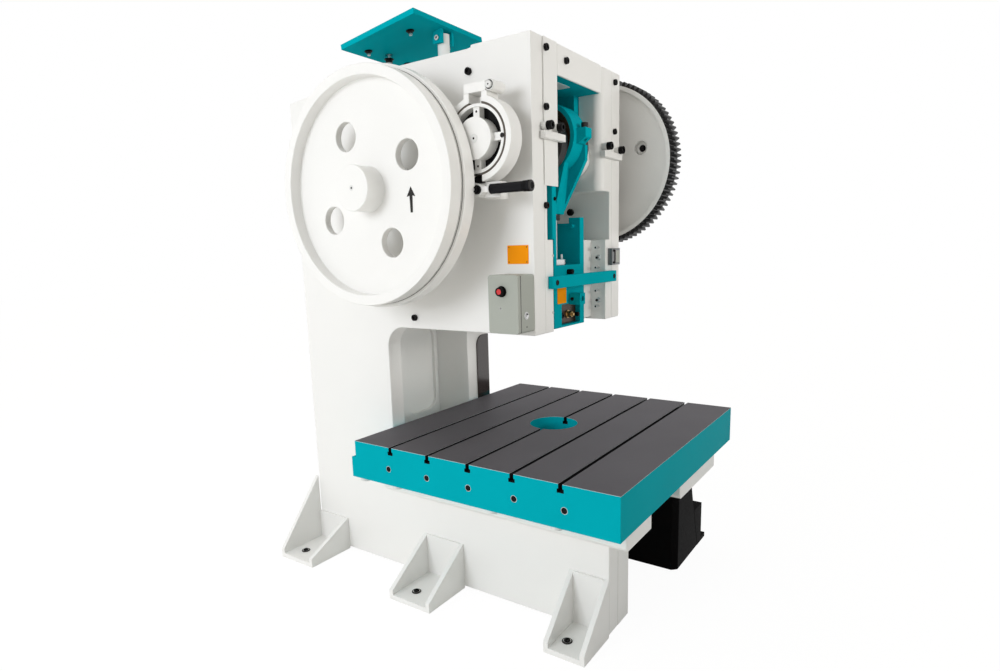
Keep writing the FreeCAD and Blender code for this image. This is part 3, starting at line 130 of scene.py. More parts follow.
def spread(nodes, links, signal, low, high):
    """The middle of a noise signal, stretched to run from low to high."""
    stretch = nodes.new("ShaderNodeMapRange")
    stretch.inputs["From Min"].default_value = NOISE_LOW
    stretch.inputs["From Max"].default_value = NOISE_HIGH
    stretch.inputs["To Min"].default_value = low
    stretch.inputs["To Max"].default_value = high
    links.new(signal, stretch.inputs["Value"])
    return stretch.outputs["Result"]


def blend_colour(nodes, links, signal, first, second):
    """The first colour where the signal is 0, and the second where it is 1."""
    mix = nodes.new("ShaderNodeMix")
    mix.data_type = "RGBA"
    sockets = [socket for socket in mix.inputs if socket.type == "RGBA"]
    for socket, colour in zip(sockets, (first, second)):
        if isinstance(colour, tuple):
            socket.default_value = (*colour, 1.0)
        else:
            links.new(colour, socket)
    links.new(signal, mix.inputs["Factor"])
    return [socket for socket in mix.outputs if socket.type == "RGBA"][0]


def raise_grain(nodes, links, shader, height, strength, depth):
    """Relief in the shader's normal; the depth is in metres."""
    relief = nodes.new("ShaderNodeBump")
    relief.inputs["Strength"].default_value = strength
    relief.inputs["Distance"].default_value = depth
    links.new(height, relief.inputs["Height"])
    links.new(relief.outputs["Normal"], shader.inputs["Normal"])


def shade(colour, amount):
    """A colour times an amount, with no channel above 1."""
    return tuple(min(1.0, channel * amount) for channel in colour)


def finish_surface(name, colour, rough, metallic=0.0, coat=0.0, drift=0.05, grain=EVEN,
                   grain_scale=260.0, bump=0.02, bump_depth=0.0004, cloud=6.0,
                   gloss=USUAL_GLOSS):
    """A surface with slow colour drift, uneven gloss and a fine grain in relief."""
    material, nodes, links, shader = begin(name)
    slow = noise(nodes, links, place_node(nodes, links), cloud)
    fine = noise(nodes, links, place_node(nodes, links, grain), grain_scale, 4.0)
    tone = blend_colour(nodes, links, slow, shade(colour, 1 - drift), shade(colour, 1 + drift))
    links.new(tone, shader.inputs["Base Color"])
    links.new(spread(nodes, links, fine, rough[0], rough[1]), shader.inputs["Roughness"])
    shader.inputs["Metallic"].default_value = metallic
    shader.inputs["Specular IOR Level"].default_value = gloss
    shader.inputs["IOR"].default_value = DULL_IOR if gloss < USUAL_GLOSS else USUAL_IOR
    shader.inputs["Coat Weight"].default_value = coat
    shader.inputs["Coat Roughness"].default_value = COAT_ROUGHNESS
    raise_grain(nodes, links, shader, fine, bump, bump_depth)
    return material


def white_paint(name="white_paint"):
    return finish_surface(name, WHITE, (0.30, 0.42), coat=0.15, drift=0.018, grain_scale=90.0,
                          bump=0.10, bump_depth=0.0010, cloud=2.2)


def teal_paint(name="teal_paint"):
    return finish_surface(name, TEAL, (0.30, 0.44), drift=0.08, grain_scale=90.0, bump=0.12,
                          bump_depth=0.0010, cloud=5.0, gloss=0.12)


def compare(nodes, links, signal, threshold, sharp=4000.0):
    """0 below the threshold and 1 above it, with a very narrow slope between."""
    step = nodes.new("ShaderNodeMapRange")
    step.inputs["From Min"].default_value = threshold - 0.5 / sharp
    step.inputs["From Max"].default_value = threshold + 0.5 / sharp
    links.new(signal, step.inputs["Value"])
    return step.outputs["Result"]


def arithmetic(nodes, links, kind, first, second=0.0):
    """One sum or comparison of signals and plain numbers."""
    sum_node = nodes.new("ShaderNodeMath")
    sum_node.operation = kind
    for index, term in enumerate((first, second)):
        if isinstance(term, (int, float)):
            sum_node.inputs[index].default_value = term
        else:
            links.new(term, sum_node.inputs[index])
    return sum_node.outputs["Value"]


def axes(nodes, links):
    """The three object coordinates, in metres."""
    coordinates = nodes.new("ShaderNodeTexCoord")
    split = nodes.new("ShaderNodeSeparateXYZ")
    links.new(coordinates.outputs["Object"], split.inputs["Vector"])
    return split.outputs["X"], split.outputs["Y"], split.outputs["Z"]


def bolster_finish():
    """Teal sides, a dark ground top, slots in painted shade, and a pale bare line round the top's
    edges.
    """
    material, nodes, links, shader = begin("bolster_paint_and_ground_steel")
    shader.inputs["IOR"].default_value = DULL_IOR
    shader.inputs["Specular IOR Level"].default_value = 0.2
    maths = partial(arithmetic, nodes, links)
    _, y, z = axes(nodes, links)
    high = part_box("bolster")[1].z
    top_deep, edge_deep = 0.0004, 0.0014
    pitch, head_half, neck_half, slots_end = 0.220, 0.0152, 0.0092, 0.5
    slot_floor, head_top = high - 0.0362, high - 0.0199
    steel_share, paint_rough = 0.35, 0.34
    top = compare(nodes, links, z, high - top_deep)
    bare = maths("SUBTRACT", compare(nodes, links, z, high - edge_deep), top)
    # A slot is as wide as its head up to the head's top, and as its neck above that.
    narrowed = maths("MULTIPLY", compare(nodes, links, z, head_top), head_half - neck_half)
    slot_half = maths("SUBTRACT", head_half, narrowed)
    near_slot = maths("LESS_THAN", maths("PINGPONG", y, pitch / 2), slot_half)
    within = maths("LESS_THAN", maths("ABSOLUTE", y), slots_end)
    slot_painted_shade = maths("MULTIPLY", maths("MULTIPLY", near_slot, within),
                    compare(nodes, links, z, slot_floor))
    below_edge = compare(nodes, links, maths("MULTIPLY", z, -1.0), -(high - edge_deep))
    slot_painted_shade = maths("MULTIPLY", slot_painted_shade, below_edge)
    fine = noise(nodes, links, place_node(nodes, links), 900.0, 5.0, 0.7)
    cloud = noise(nodes, links, place_node(nodes, links), 3.0, 4.0)
    ground = blend_colour(nodes, links, cloud, shade(GROUND, 0.88), shade(GROUND, 1.14))
    speckle = blend_colour(nodes, links, fine, shade(GROUND, 0.6), shade(GROUND, 1.5))
    ground = blend_colour(nodes, links, maths("MULTIPLY", fine, 0.5), ground, speckle)
    paint = blend_colour(nodes, links, cloud, shade(TEAL, 0.95), shade(TEAL, 1.06))
    # Painted shade: the slots' walls and floors are coloured near black for the shade inside them.
    colour = blend_colour(nodes, links, slot_painted_shade, paint, shade(GROUND, 0.2))
    colour = blend_colour(nodes, links, top, colour, ground)
    colour = blend_colour(nodes, links, bare, colour, BARE_EDGE)
    links.new(colour, shader.inputs["Base Color"])
    steel = maths("MAXIMUM", top, maths("MAXIMUM", bare, slot_painted_shade))
    links.new(maths("MULTIPLY", steel, steel_share), shader.inputs["Metallic"])
    rough = maths("MULTIPLY", top, spread(nodes, links, fine, 0.10, 0.26))
    links.new(maths("ADD", rough, paint_rough), shader.inputs["Roughness"])
    raise_grain(nodes, links, shader, fine, 0.22, 0.0003)
    return material


def gear_finish():
    """A white web and black oiled teeth, split at the root of the teeth."""
    material, nodes, links, shader = begin("gear_paint_and_teeth")
    shader.inputs["Specular IOR Level"].default_value = 0.25
    maths = partial(arithmetic, nodes, links)
    _, y, z = axes(nodes, links)
    low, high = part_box("gear")
    centre = (low + high) / 2
    tooth_deep = 0.0225
    root = (high.z - low.z) / 2 - tooth_deep
    across, up = maths("SUBTRACT", y, centre.y), maths("SUBTRACT", z, centre.z)
    reach = maths("SQRT", maths("ADD", maths("POWER", across, 2.0), maths("POWER", up, 2.0)))
    teeth = compare(nodes, links, reach, root)
    cloud = noise(nodes, links, place_node(nodes, links), 14.0, 4.0)
    fine = noise(nodes, links, place_node(nodes, links), 220.0, 4.0)
    paint = blend_colour(nodes, links, cloud, shade(WHITE, 0.96), shade(WHITE, 1.0))
    oiled = blend_colour(nodes, links, fine, shade(BLACK, 0.7), OILED)
    links.new(blend_colour(nodes, links, teeth, paint, oiled), shader.inputs["Base Color"])
    links.new(spread(nodes, links, fine, 0.28, 0.46), shader.inputs["Roughness"])
    raise_grain(nodes, links, shader, fine, 0.12, 0.0006)
    return material


def bush_finish():
    """Bearing metal, with paint over the ends that face into the crank case."""
    material, nodes, links, shader = begin("bush_metal_and_paint")
    painted_half = 0.36
    x = axes(nodes, links)[0]
    metal = compare(nodes, links, arithmetic(nodes, links, "ABSOLUTE", x), painted_half)
    grain = noise(nodes, links, place_node(nodes, links, (8, 1, 1)), 70.0, 4.0)
    turned = blend_colour(nodes, links, grain, shade(BRASS, 0.9), shade(BRASS, 1.1))
    paint = blend_colour(nodes, links, grain, shade(WHITE, 0.97), WHITE)
    links.new(blend_colour(nodes, links, metal, paint, turned), shader.inputs["Base Color"])
    links.new(metal, shader.inputs["Metallic"])
    links.new(spread(nodes, links, grain, 0.26, 0.42), shader.inputs["Roughness"])
    return material


def slot_materials():
    """The finishes, by the record's material slots and the names in SLOT_OF."""
    return {
        "white_paint": white_paint(),
        "teal_paint": teal_paint(),
        "black_paint": finish_surface("black_paint", BLACK, (0.34, 0.50), drift=0.15,
                                      grain_scale=120.0, bump=0.12, bump_depth=0.0008,
                                      gloss=0.3),
        "bolster_paint": bolster_finish(),
        "dark_bronze": finish_surface("dark_bronze", BRONZE, (0.24, 0.42), metallic=0.5,
                                      drift=0.25, grain_scale=90.0, bump=0.15),
        "orange_plate": finish_surface("orange_plate", ORANGE, (0.30, 0.42), drift=0.03,
                                       grain_scale=300.0, bump=0.04, gloss=0.15),
        "bright_steel": finish_surface("bright_steel", BRIGHT, (0.22, 0.36), metallic=1.0,
                                       drift=0.06, grain=(12, 1, 1), grain_scale=60.0, bump=0.06),
        "dark_steel": finish_surface("dark_steel", DARK_STEEL, (0.26, 0.46), metallic=0.7,
                                     drift=0.18, grain_scale=180.0, bump=0.10),
        "bearing_brass": bush_finish(),
        "clean_brass": finish_surface("clean_brass", BRASS, (0.24, 0.40), metallic=1.0,
                                      drift=0.10, grain=(8, 1, 1), grain_scale=70.0, bump=0.05),
        "gear_iron": gear_finish(),
        "wheel_paint": white_paint("wheel_paint"),
        "friction_lining": finish_surface("friction_lining", LINING, (0.70, 0.90), drift=0.3,
                                          grain_scale=700.0, bump=0.3),
        "grip_rubber": finish_surface("grip_rubber", RUBBER, (0.34, 0.50), drift=0.2, coat=0.3,
                                      grain_scale=500.0, bump=0.15, gloss=0.3),
        "box_paint": finish_surface("box_paint", BOX_GREY, (0.36, 0.50), drift=0.04,
                                    grain_scale=420.0, bump=0.25, bump_depth=0.0005),
        "red_plastic": finish_surface("red_plastic", RED, (0.16, 0.26), coat=0.4, drift=0.08,
                                      grain_scale=200.0, bump=0.02),
        "black_plastic": finish_surface("black_plastic", BLACK, (0.30, 0.44), drift=0.15,
                                        coat=0.2, grain_scale=400.0, bump=0.10, gloss=0.3),
        "dark_cover": finish_surface("dark_cover", COVER, (0.14, 0.24), coat=0.4, drift=0.15,
                                     grain_scale=60.0, bump=0.05),
        "smoke_plastic": finish_surface("smoke_plastic", SMOKE, (0.14, 0.24), coat=0.3,
                                        drift=0.12, grain_scale=150.0, bump=0.03),
        "white_plastic": finish_surface("white_plastic", PALE_PLASTIC, (0.34, 0.46),
                                        drift=0.04, grain_scale=240.0, bump=0.05),
    }


# ---------------------------------------------------------------- dressing the CAD nodes

# Rounding of the edges, in metres, for the nodes that have another than the usual.
USUAL_ROUND = 0.0022
ROUNDS = {
    "left_side_plate": 0.005, "right_side_plate": 0.005, "left_column": 0.004,
    "right_column": 0.004, "flywheel": 0.006, "bolster": 0.0014, "left_feet": 0.003,
    "right_feet": 0.003, "bed_rails": 0.004, "right_leg": 0.004, "box_lid": 0.0015,
    "box_body": 0.0015, "stop_button": 0.0015, "box_latch": 0.0008, "button_bezel": 0.0006,
    "gear": 0.0010, "pinion": 0.0, "rod_bolts": 0.0012, "ball_seat": 0.001,
    "crank_bushes": 0.001, "rod_shells": 0.001, "brake_linings": 0.0008, "ball_screw": 0.001,
}


def soften(thing, width):
    """Merge split corners, join flat faces and round edges with modifiers; no vertex moves."""
    for face in thing.data.polygons:
        face.use_smooth = True
    if "custom_normal" in thing.data.attributes:
        thing.data.attributes.remove(thing.data.attributes["custom_normal"])
    weld = thing.modifiers.new("weld", "WELD")
    weld.merge_threshold = 1e-5
    flat = thing.modifiers.new("flat", "DECIMATE")
    flat.decimate_type = "DISSOLVE"
    flat.angle_limit = math.radians(0.5)
    if width:
        edge = thing.modifiers.new("edge", "BEVEL")
        edge.width = width
        edge.segments = 2
        edge.limit_method = "ANGLE"
        edge.angle_limit = SHARP_ANGLE
        edge.use_clamp_overlap = True
    normal = thing.modifiers.new("normal", "WEIGHTED_NORMAL")
    normal.keep_sharp = False
    normal.weight = 100


def dress_nodes(finishes):
    """Give every CAD node the finish of its material slot, and soft edges."""
    for part in frame["record"]["subparts"]:
        node = frame["nodes"][part["node"]]
        node.data.materials.clear()
        node.data.materials.append(finishes[part["material_slot"]])
        soften(node, ROUNDS.get(part["node"], USUAL_ROUND))


# ---------------------------------------------------------------- piece builders

def turn_to(axis):
    """The rotation that carries +Z to the given direction."""
    return Vector(axis).to_track_quat("Z", "Y").to_matrix().to_4x4()


def add_piece(name, mesh, finish, slot_name, body, matrix=None, smooth=True):
    """Link a mesh as a piece that rides on a body."""
    piece = bpy.data.objects.new(name, mesh)
    bpy.context.scene.collection.objects.link(piece)
    if matrix is not None:
        piece.matrix_world = matrix
    mesh.materials.clear()
    mesh.materials.append(finish)
    for face in mesh.polygons:
        face.use_smooth = smooth
    slot_name = SLOT_OF.get(slot_name, slot_name)
    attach(piece, body)
    return piece


def ring_points(bm, radius, height, count, sides=0, turn=0.0):
    """A ring of points: round, or with flats where sides is given."""
    points = []
    for index in range(count):
        angle = turn + 2 * math.pi * index / count
        reach = radius
        if sides:
            flat = 2 * math.pi / sides
            offset = (angle + flat / 2) % flat - flat / 2
            reach = radius * math.cos(flat / 2) / math.cos(offset)
        points.append(bm.verts.new((reach * math.cos(angle), reach * math.sin(angle), height)))
    return points


def skin(bm, rings, cap_first=True, cap_last=True):
    """Faces from each ring of points to the next, and a cap at either end."""
    for first, second in zip(rings, rings[1:]):
        count = len(first)
        for index in range(count):
            after = (index + 1) % count
            bm.faces.new((first[index], first[after], second[after], second[index]))
    if cap_first:
        bm.faces.new(rings[0][::-1])
    if cap_last:
        bm.faces.new(rings[-1])


def mesh_from(name, bm, sharp=SHARP_ANGLE):
    """The mesh of a bmesh, with its faces turned outwards and its sharp edges marked."""
    bmesh.ops.recalc_face_normals(bm, faces=bm.faces)
    mesh = bpy.data.meshes.new(name)
    bm.to_mesh(mesh)
    bm.free()
    mesh.set_sharp_from_angle(angle=sharp)
    return mesh


def cap_screw_mesh(name, radius, height):
    """A socket-head screw: a knurled head with a chamfered top and a six-sided socket."""
    bm = bmesh.new()
    count, chamfer, socket = 48, 0.12 * radius, 0.52 * radius
    rings = [ring_points(bm, radius, 0.0, count)]
    for height_here in (0.08, 0.80):
        rings.append(ring_points(bm, radius, height_here * height, count))
    for index, point in enumerate(rings[1] + rings[2]):
        if index % 2:
            point.co.x *= 0.965
            point.co.y *= 0.965
    rings.append(ring_points(bm, radius, height - chamfer, count))
    rings.append(ring_points(bm, radius - chamfer, height, count))
    rings.append(ring_points(bm, socket * 1.12, height, count))
    rings.append(ring_points(bm, socket, height - 0.04 * radius, count, sides=6))
    rings.append(ring_points(bm, socket, 0.45 * height, count, sides=6))
    skin(bm, rings)
    return mesh_from(name, bm)


def hex_bolt_mesh(name, radius, height, washer=True):
    """A six-sided head with a chamfered top, on a washer where one is asked for."""
    bm = bmesh.new()
    start = 0.0
    if washer:
        thick = 0.22 * height
        skin(bm, [ring_points(bm, wide * radius, high * thick, 36)
                  for wide, high in ((1.28, 0.0), (1.32, 0.3), (1.32, 0.8), (1.27, 1.0))])
        start = thick
    rings = [ring_points(bm, radius, start, 48, sides=6),
             ring_points(bm, radius, start + 0.84 * height, 48, sides=6)]
    top = ring_points(bm, 0.83 * radius, start + height, 48)
    skin(bm, rings + [top])
    return mesh_from(name, bm)


def turned_mesh(name, profile, count=48):
    """A turned piece: a list of (radius, height) from the bottom to the top."""
    bm = bmesh.new()
    skin(bm, [ring_points(bm, radius, height, count) for radius, height in profile])
    return mesh_from(name, bm)


def plate_mesh(name, width, depth, thick, corner=0.0, bevel=0.0):
    """A flat plate centred on its back face's middle, with round corners and soft edges."""
    bm = bmesh.new()
    outline = []
    steps = 6 if corner else 1
    for x_side, y_side, start in ((1, 1, 0), (-1, 1, 90), (-1, -1, 180), (1, -1, 270)):
        middle = (x_side * (width / 2 - corner), y_side * (depth / 2 - corner))
        for step in range(steps):
            angle = math.radians(start + 90 * step / max(1, steps - 1))
            outline.append((middle[0] + corner * math.cos(angle),
                            middle[1] + corner * math.sin(angle)))
    low = [bm.verts.new((x, y, 0)) for x, y in outline]
    high = [bm.verts.new((x, y, thick)) for x, y in outline]
    skin(bm, [low, high])
    if bevel:
        edges = [edge for edge in bm.edges if edge.calc_face_angle(0) > SHARP_ANGLE]
        bmesh.ops.bevel(bm, geom=edges, offset=bevel, segments=2, affect="EDGES")
    return mesh_from(name, bm)


def at(place, axis=(0, 0, 1), turn=0.0):
    """A matrix for a place in millimetres and the direction a piece's own +Z takes."""
    return (Matrix.Translation(Vector(place) * MM) @ turn_to(axis)
            @ Matrix.Rotation(math.radians(turn), 4, "Z"))


# ---------------------------------------------------------------- placing pieces

LEFT, RIGHT, FRONT, UP, DOWN = (-1, 0, 0), (1, 0, 0), (0, -1, 0), (0, 0, 1), (0, 0, -1)


def middle_of(node):
    """The middle of a node's box, in millimetres."""
    low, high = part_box(node)
    return tuple((first + last) / 2 / MM for first, last in zip(low, high))


def plate(name, finishes, finish, body, place, facing, width, depth, thick, corner=3,
          bevel=0.4, turn=0.0):
    """A thin plate laid on a face; sizes in millimetres."""
    mesh = plate_mesh(name, width * MM, depth * MM, thick * MM, corner * MM, bevel * MM)
    return add_piece(name, mesh, finishes[finish], finish, body, at(place, facing, turn))


def screw(name, finishes, finish, body, place, facing, radius, height, turn=0.0):
    """A socket-head screw's head; sizes in millimetres."""
    mesh = cap_screw_mesh(name, radius * MM, height * MM)
    return add_piece(name, mesh, finishes[finish], finish, body, at(place, facing, turn))


def nut(name, finishes, finish, body, place, facing, radius, height, washer=True, turn=0.0):
    """A nut or a bolt's six-sided head; sizes in millimetres."""
    mesh = hex_bolt_mesh(name, radius * MM, height * MM, washer)
    return add_piece(name, mesh, finishes[finish], finish, body, at(place, facing, turn))


def spindle(name, finishes, finish, body, place, facing, profile):
    """A turned piece from (radius, height) pairs in millimetres."""
    mesh = turned_mesh(name, [(radius * MM, height * MM) for radius, height in profile])
    return add_piece(name, mesh, finishes[finish], finish, body, at(place, facing))


def ring(name, finishes, finish, body, place, facing, profile, count=64):
    """A turned ring: a closed profile of (radius, height) pairs in millimetres."""
    bm = bmesh.new()
    rings = [ring_points(bm, radius * MM, height * MM, count) for radius, height in profile]
    skin(bm, rings + rings[:1], False, False)
    return add_piece(name, mesh_from(name, bm), finishes[finish], finish, body,
                     at(place, facing))


# ---------------------------------------------------------------- pieces on the frame

def fasteners(finishes):
    """Screws on the side plates, columns and tie bar, and the screws and nuts of the gibs."""
    plate_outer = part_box("right_side_plate")[1].x / MM
    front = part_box("left_column")[0].y / MM
    bar_front, bar_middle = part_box("tie_bar")[0].y / MM, 1506
    cover_thick, cover_low, cover_right = 5, 1915, -222
    gib_face, gib_y, gib_nut_heights = 264, -121, (1601, 1386)
    gib_nut_high, gib_screw_long = 16, 36
    screws = []
    for side, facing in ((-1, LEFT), (1, RIGHT)):
        for y, z in ((146, 2396), (517, 1341)):
            screws.append(("side", "black_plastic", (side * plate_outer, y, z), facing, 15, 14))
    for x, z in ((-320, 2458), (-139, 2445), (362, 2452), (-325, 2228), (359, 2219),
                 (-326, 1833)):
        lift = cover_thick if z > cover_low and x < cover_right else 0
        screws.append(("front", "black_plastic", (x, front - lift, z), FRONT, 14, 13))
    for x in (-284, 302):
        screws.append(("bar", "black_plastic", (x, bar_front, bar_middle), FRONT, 12, 3))
    for z in (1651, 1601, 1552, 1435, 1386, 1356):
        for side, facing in ((-1, RIGHT), (1, LEFT)):
            place = (side * gib_face, gib_y, z)
            if z in gib_nut_heights:
                nut(f"gib_nut_{side}_{z}", finishes, "bright_steel", "frame", place, facing, 11,
                    13)
                spindle(f"gib_stud_{side}_{z}", finishes, "dark_steel", "frame",
                        (side * (gib_face - gib_nut_high), gib_y, z), facing,
                        [(6, 0), (6, 8), (4.5, 9)])
                continue
            spindle(f"gib_screw_{side}_{z}", finishes, "bright_steel", "frame", place, facing,
                    [(7, 0), (7, gib_screw_long - 2), (5.8, gib_screw_long)])
            # Painted shade: a black disc on each screw's end stands for the shade in its socket.
            spindle(f"gib_socket_{side}_{z}", finishes, "black_plastic", "frame",
                    (side * (gib_face - gib_screw_long), gib_y, z), facing,
                    [(4.2, -0.3), (4.2, 0.3), (2, 0.5)])
    for x, z in ((-271, 1622), (-276, 1374)):
        screws.append(("small", "bright_steel", (x, front, z), FRONT, 5, 4))
    for number, (word, finish, place, facing, radius, height) in enumerate(screws):
        screw(f"{word}_screw_{number}", finishes, finish, "frame", place, facing, radius, height)


def stop_screws(finishes):
    """The knurled screws above the stop brackets, each on a pale spacer."""
    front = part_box("left_column")[0].y / MM
    cover_thick, spacer_long = 5, 22
    for number, (x, z, lift) in enumerate(((-344, 2150, cover_thick), (-254, 2152, cover_thick),
                                           (241, 2135, 0), (380, 2130, 0))):
        spindle(f"stop_spacer_{number}", finishes, "white_plastic", "frame",
                (x, front - lift, z), FRONT,
                [(16.5, 0), (17.5, 1), (17.5, spacer_long - 1), (16.5, spacer_long)])
        screw(f"stop_screw_{number}", finishes, "black_plastic", "frame",
              (x, front - lift - spacer_long, z), FRONT, 18.5, 24)


def anchor_bolts(finishes):
    """A bolt on a washer and a bright ring in every foot, and the plates between the gussets."""
    washer, turn_step = 4, 17
    places = [(-610, 1253.5, 24), (-610, 430, 24), (-572, -380.5, 24), (610, 1253.5, 24),
              (610, 430, 24), (720, -518, 25)]
    for number, place in enumerate(places):
        x, y, z = place
        spindle(f"anchor_washer_{number}", finishes, "dark_steel", "frame", place, UP,
                [(21.5, 0), (22.5, 1), (22.5, washer - 1), (21.5, washer)])
        ring(f"anchor_ring_{number}", finishes, "bright_steel", "frame", (x, y, z + washer), UP,
             [(13.5, -0.5), (17, -0.5), (17, 1.2), (13.5, 1.2)])
        screw(f"anchor_bolt_{number}", finishes, "black_plastic", "frame", (x, y, z + washer),
              UP, 13, 6, turn_step * number)
    sole, gusset, side = 24, 22, 425
    for word, facing, front, back, top in (
            ("rear_left", LEFT, 1099, 1352, 182), ("middle_left", LEFT, 276, 528, 233),
            ("front_left", LEFT, -504, -313, 266), ("rear_right", RIGHT, 1099, 1352, 182),
            ("middle_right", RIGHT, 276, 528, 233)):
        plate(f"foot_back_{word}", finishes, "white_paint", "frame",
              (facing[0] * side, (front + back) / 2, (sole + top) / 2), facing,
              back - front - 2 * gusset, top - sole, 9, 1, 0.8)


def blank_plates(finishes):
    """The two orange blank plates: one on the left side, one low on the ram."""
    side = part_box("left_side_plate")[0].x / MM
    y, z, width, height, thick, inset = -81, 1631, 105, 78, 2, 8
    plate("side_blank_plate", finishes, "orange_plate", "frame", (side, y, z), LEFT,
          width, height, thick)
    for across in (-1, 1):
        for up in (-1, 1):
            spindle(f"side_plate_rivet_{across}_{up}", finishes, "dark_steel", "frame",
                    (side - thick, y + across * (width / 2 - inset),
                     z + up * (height / 2 - inset)), LEFT,
                    [(2.6, 0), (2.6, 0.5), (1.9, 1.2), (0.8, 1.5)])
    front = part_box("ram")[0].y / MM
    plate("ram_blank_plate", finishes, "orange_plate", "ram", (-82, front, 1436), FRONT, 84, 80,
          thick)


def ram_fittings(finishes):
    """Screws, nuts, rings and the pin on the ram, the shank clamp, its arm and the ball's cap."""
    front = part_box("ram")[0].y / MM
    screw("ram_screw", finishes, "black_plastic", "ram", (-18, front, 1542), FRONT, 13, 28)
    clamp, clamp_middle, nut_x, nut_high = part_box("shank_clamp")[0].y / MM, 1336, 18, 26
    screw("clamp_screw_left", finishes, "black_plastic", "ram", (-60, clamp, clamp_middle),
          FRONT, 13, 20)
    screw("clamp_screw_right", finishes, "black_plastic", "ram", (86, clamp, 1330), FRONT, 10, 28)
    nut("clamp_nut", finishes, "clean_brass", "ram", (nut_x, clamp, clamp_middle), FRONT, 15, 22)
    spindle("clamp_stud", finishes, "clean_brass", "ram", (nut_x, clamp - nut_high, clamp_middle),
            FRONT, [(8, -1), (8, 8), (6.5, 10)])
    left, front = (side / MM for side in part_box("clamp_arm")[0][:2])
    middle, _, height = middle_of("clamp_arm")
    boss_deep, side_screw_y = 30, -118
    screw("arm_screw", finishes, "black_plastic", "ram", (middle, front + boss_deep, height),
          FRONT, 11, 22)
    ring("arm_ring", finishes, "teal_paint", "ram", (middle, front, height), FRONT,
         [(13, -0.5), (20, -0.5), (20, 1.4), (18.8, 2.4), (14.2, 2.4), (13, 1.4)])
    screw("arm_side_screw", finishes, "black_plastic", "ram", (left, side_screw_y, height), LEFT,
          8, 6)
    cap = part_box("ball_cap")[1].z / MM
    spindle("cap_pin", finishes, "bright_steel", "ram", (0, -54, cap), UP,
            [(8, 0), (8, 3), (5, 5), (5, 22), (4, 24)])
    ring("cap_ring", finishes, "teal_paint", "ram", (0, 0, cap), UP,
         [(60, -0.3), (66, -0.3), (66, 1.2), (60, 1.2)], 96)
    for number, (x, y) in enumerate(((48, -26), (-48, -26), (48, 26), (-48, 26))):
        screw(f"cap_screw_{number}", finishes, "dark_steel", "ram", (x, y, cap), UP, 5, 4)
    nut("pocket_nut", finishes, "teal_paint", "ram", (106, -58, 1757), LEFT, 11, 14)


def column_fittings(finishes):
    """The bracket's screw, the pocket's knob, the roof's plate and the sight box's front."""
    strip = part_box("left_bracket")[0].y / MM
    screw("bracket_screw", finishes, "black_plastic", "frame", (-258, strip, 1863), FRONT, 8, 7)
    spindle("pocket_knob", finishes, "black_plastic", "frame", (310, 53, 1835), LEFT,
            [(12, 0), (12, 6), (17, 10), (18, 24), (15, 30), (6, 32)])
    roof_thick = 25
    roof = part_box("crank_case")[1].z / MM - roof_thick
    plate("roof_plate", finishes, "white_plastic", "frame", (-55, -72, roof), DOWN, 130, 60, 3)
    left, front = (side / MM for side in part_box("sight_box")[0][:2])
    middle = middle_of("sight_box")[2]
    for up in (-1, 1):
        screw(f"sight_screw_{up}", finishes, "black_plastic", "frame",
              (left + 18, front, middle + up * 30), FRONT, 6, 4)
    plate("sight_window", finishes, "box_paint", "frame", (left + 62, front, middle), FRONT,
          42, 60, 2, 3)
    plate("sight_bar", finishes, "dark_cover", "frame", (left + 32, front, middle), FRONT, 6, 70,
          4, 1)


# ---------------------------------------------------------------- pieces on the other bodies

def wheel_fittings(finishes):
    """The arrow, the seams and the centre mark of the flywheel."""
    _, y, z = middle_of("flywheel")
    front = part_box("flywheel")[0].x / MM
    mark = 0.2
    spindle("wheel_centre", finishes, "white_plastic", "flywheel", (front, y, z), LEFT,
            [(12, 0), (12, mark / 2), (11, mark), (4, mark)])
    # Painted shade: a black disc stands for the shade in the wheel's centre hole.
    spindle("wheel_centre_painted_shade", finishes, "black_plastic", "flywheel", (front - mark, y, z),
            LEFT, [(4.5, 0), (4.5, 0.1), (3, 0.1)])
    bm = bmesh.new()
    outline = [(-6, -52), (6, -52), (8, 16), (23, 12), (0, 52), (-23, 12), (-8, 16)]
    arrow_place, arrow_thick = (-694, 262, 1866), 1.2
    rings = [[bm.verts.new((across * MM, up * MM, out * MM)) for across, up in outline]
             for out in (0, arrow_thick)]
    skin(bm, rings)
    turn = Matrix(((0, 0, -1), (-1, 0, 0), (0, 1, 0))).to_4x4()
    add_piece("wheel_arrow", mesh_from("wheel_arrow", bm), finishes["dark_steel"], "dark_steel",
              "flywheel", Matrix.Translation(Vector(arrow_place) * MM) @ turn, smooth=False)
    inner, outer = 495.5, 496.8
    for number, (x, wide) in enumerate(((-672, 1.4), (-645, 0.7))):
        ring(f"wheel_seam_{number}", finishes, "black_plastic", "flywheel", (x, y, z), LEFT,
             [(inner, 0), (outer, 0), (outer, wide), (inner, wide)], 360)


def gear_fittings(finishes):
    """A plug and a bolt behind each hole of the gear's web, and the end cap's screws."""
    z = middle_of("gear")[2]
    holes, plug_x, plug_high, hole_circle, first_hole = 4, 568, 6, 240, 164
    for number in range(holes):
        angle = math.radians(first_hole + 90 * number)
        y, height = hole_circle * math.cos(angle), z + hole_circle * math.sin(angle)
        spindle(f"gear_plug_{number}", finishes, "wheel_paint", "gear", (plug_x, y, height),
                LEFT, [(34.8, -2), (34.8, 2), (30, plug_high), (20, 6.5)])
        nut(f"gear_bolt_{number}", finishes, "black_plastic", "gear",
            (plug_x - plug_high, y, height), LEFT, 13, 14, True, 20)
    cap, cap_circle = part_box("gear_end_cap")[1].x / MM, 45
    for number in range(4):
        angle = math.radians(45 + 90 * number)
        screw(f"end_cap_screw_{number}", finishes, "black_plastic", "crank",
              (cap, cap_circle * math.cos(angle), z + cap_circle * math.sin(angle)), RIGHT, 10, 9)


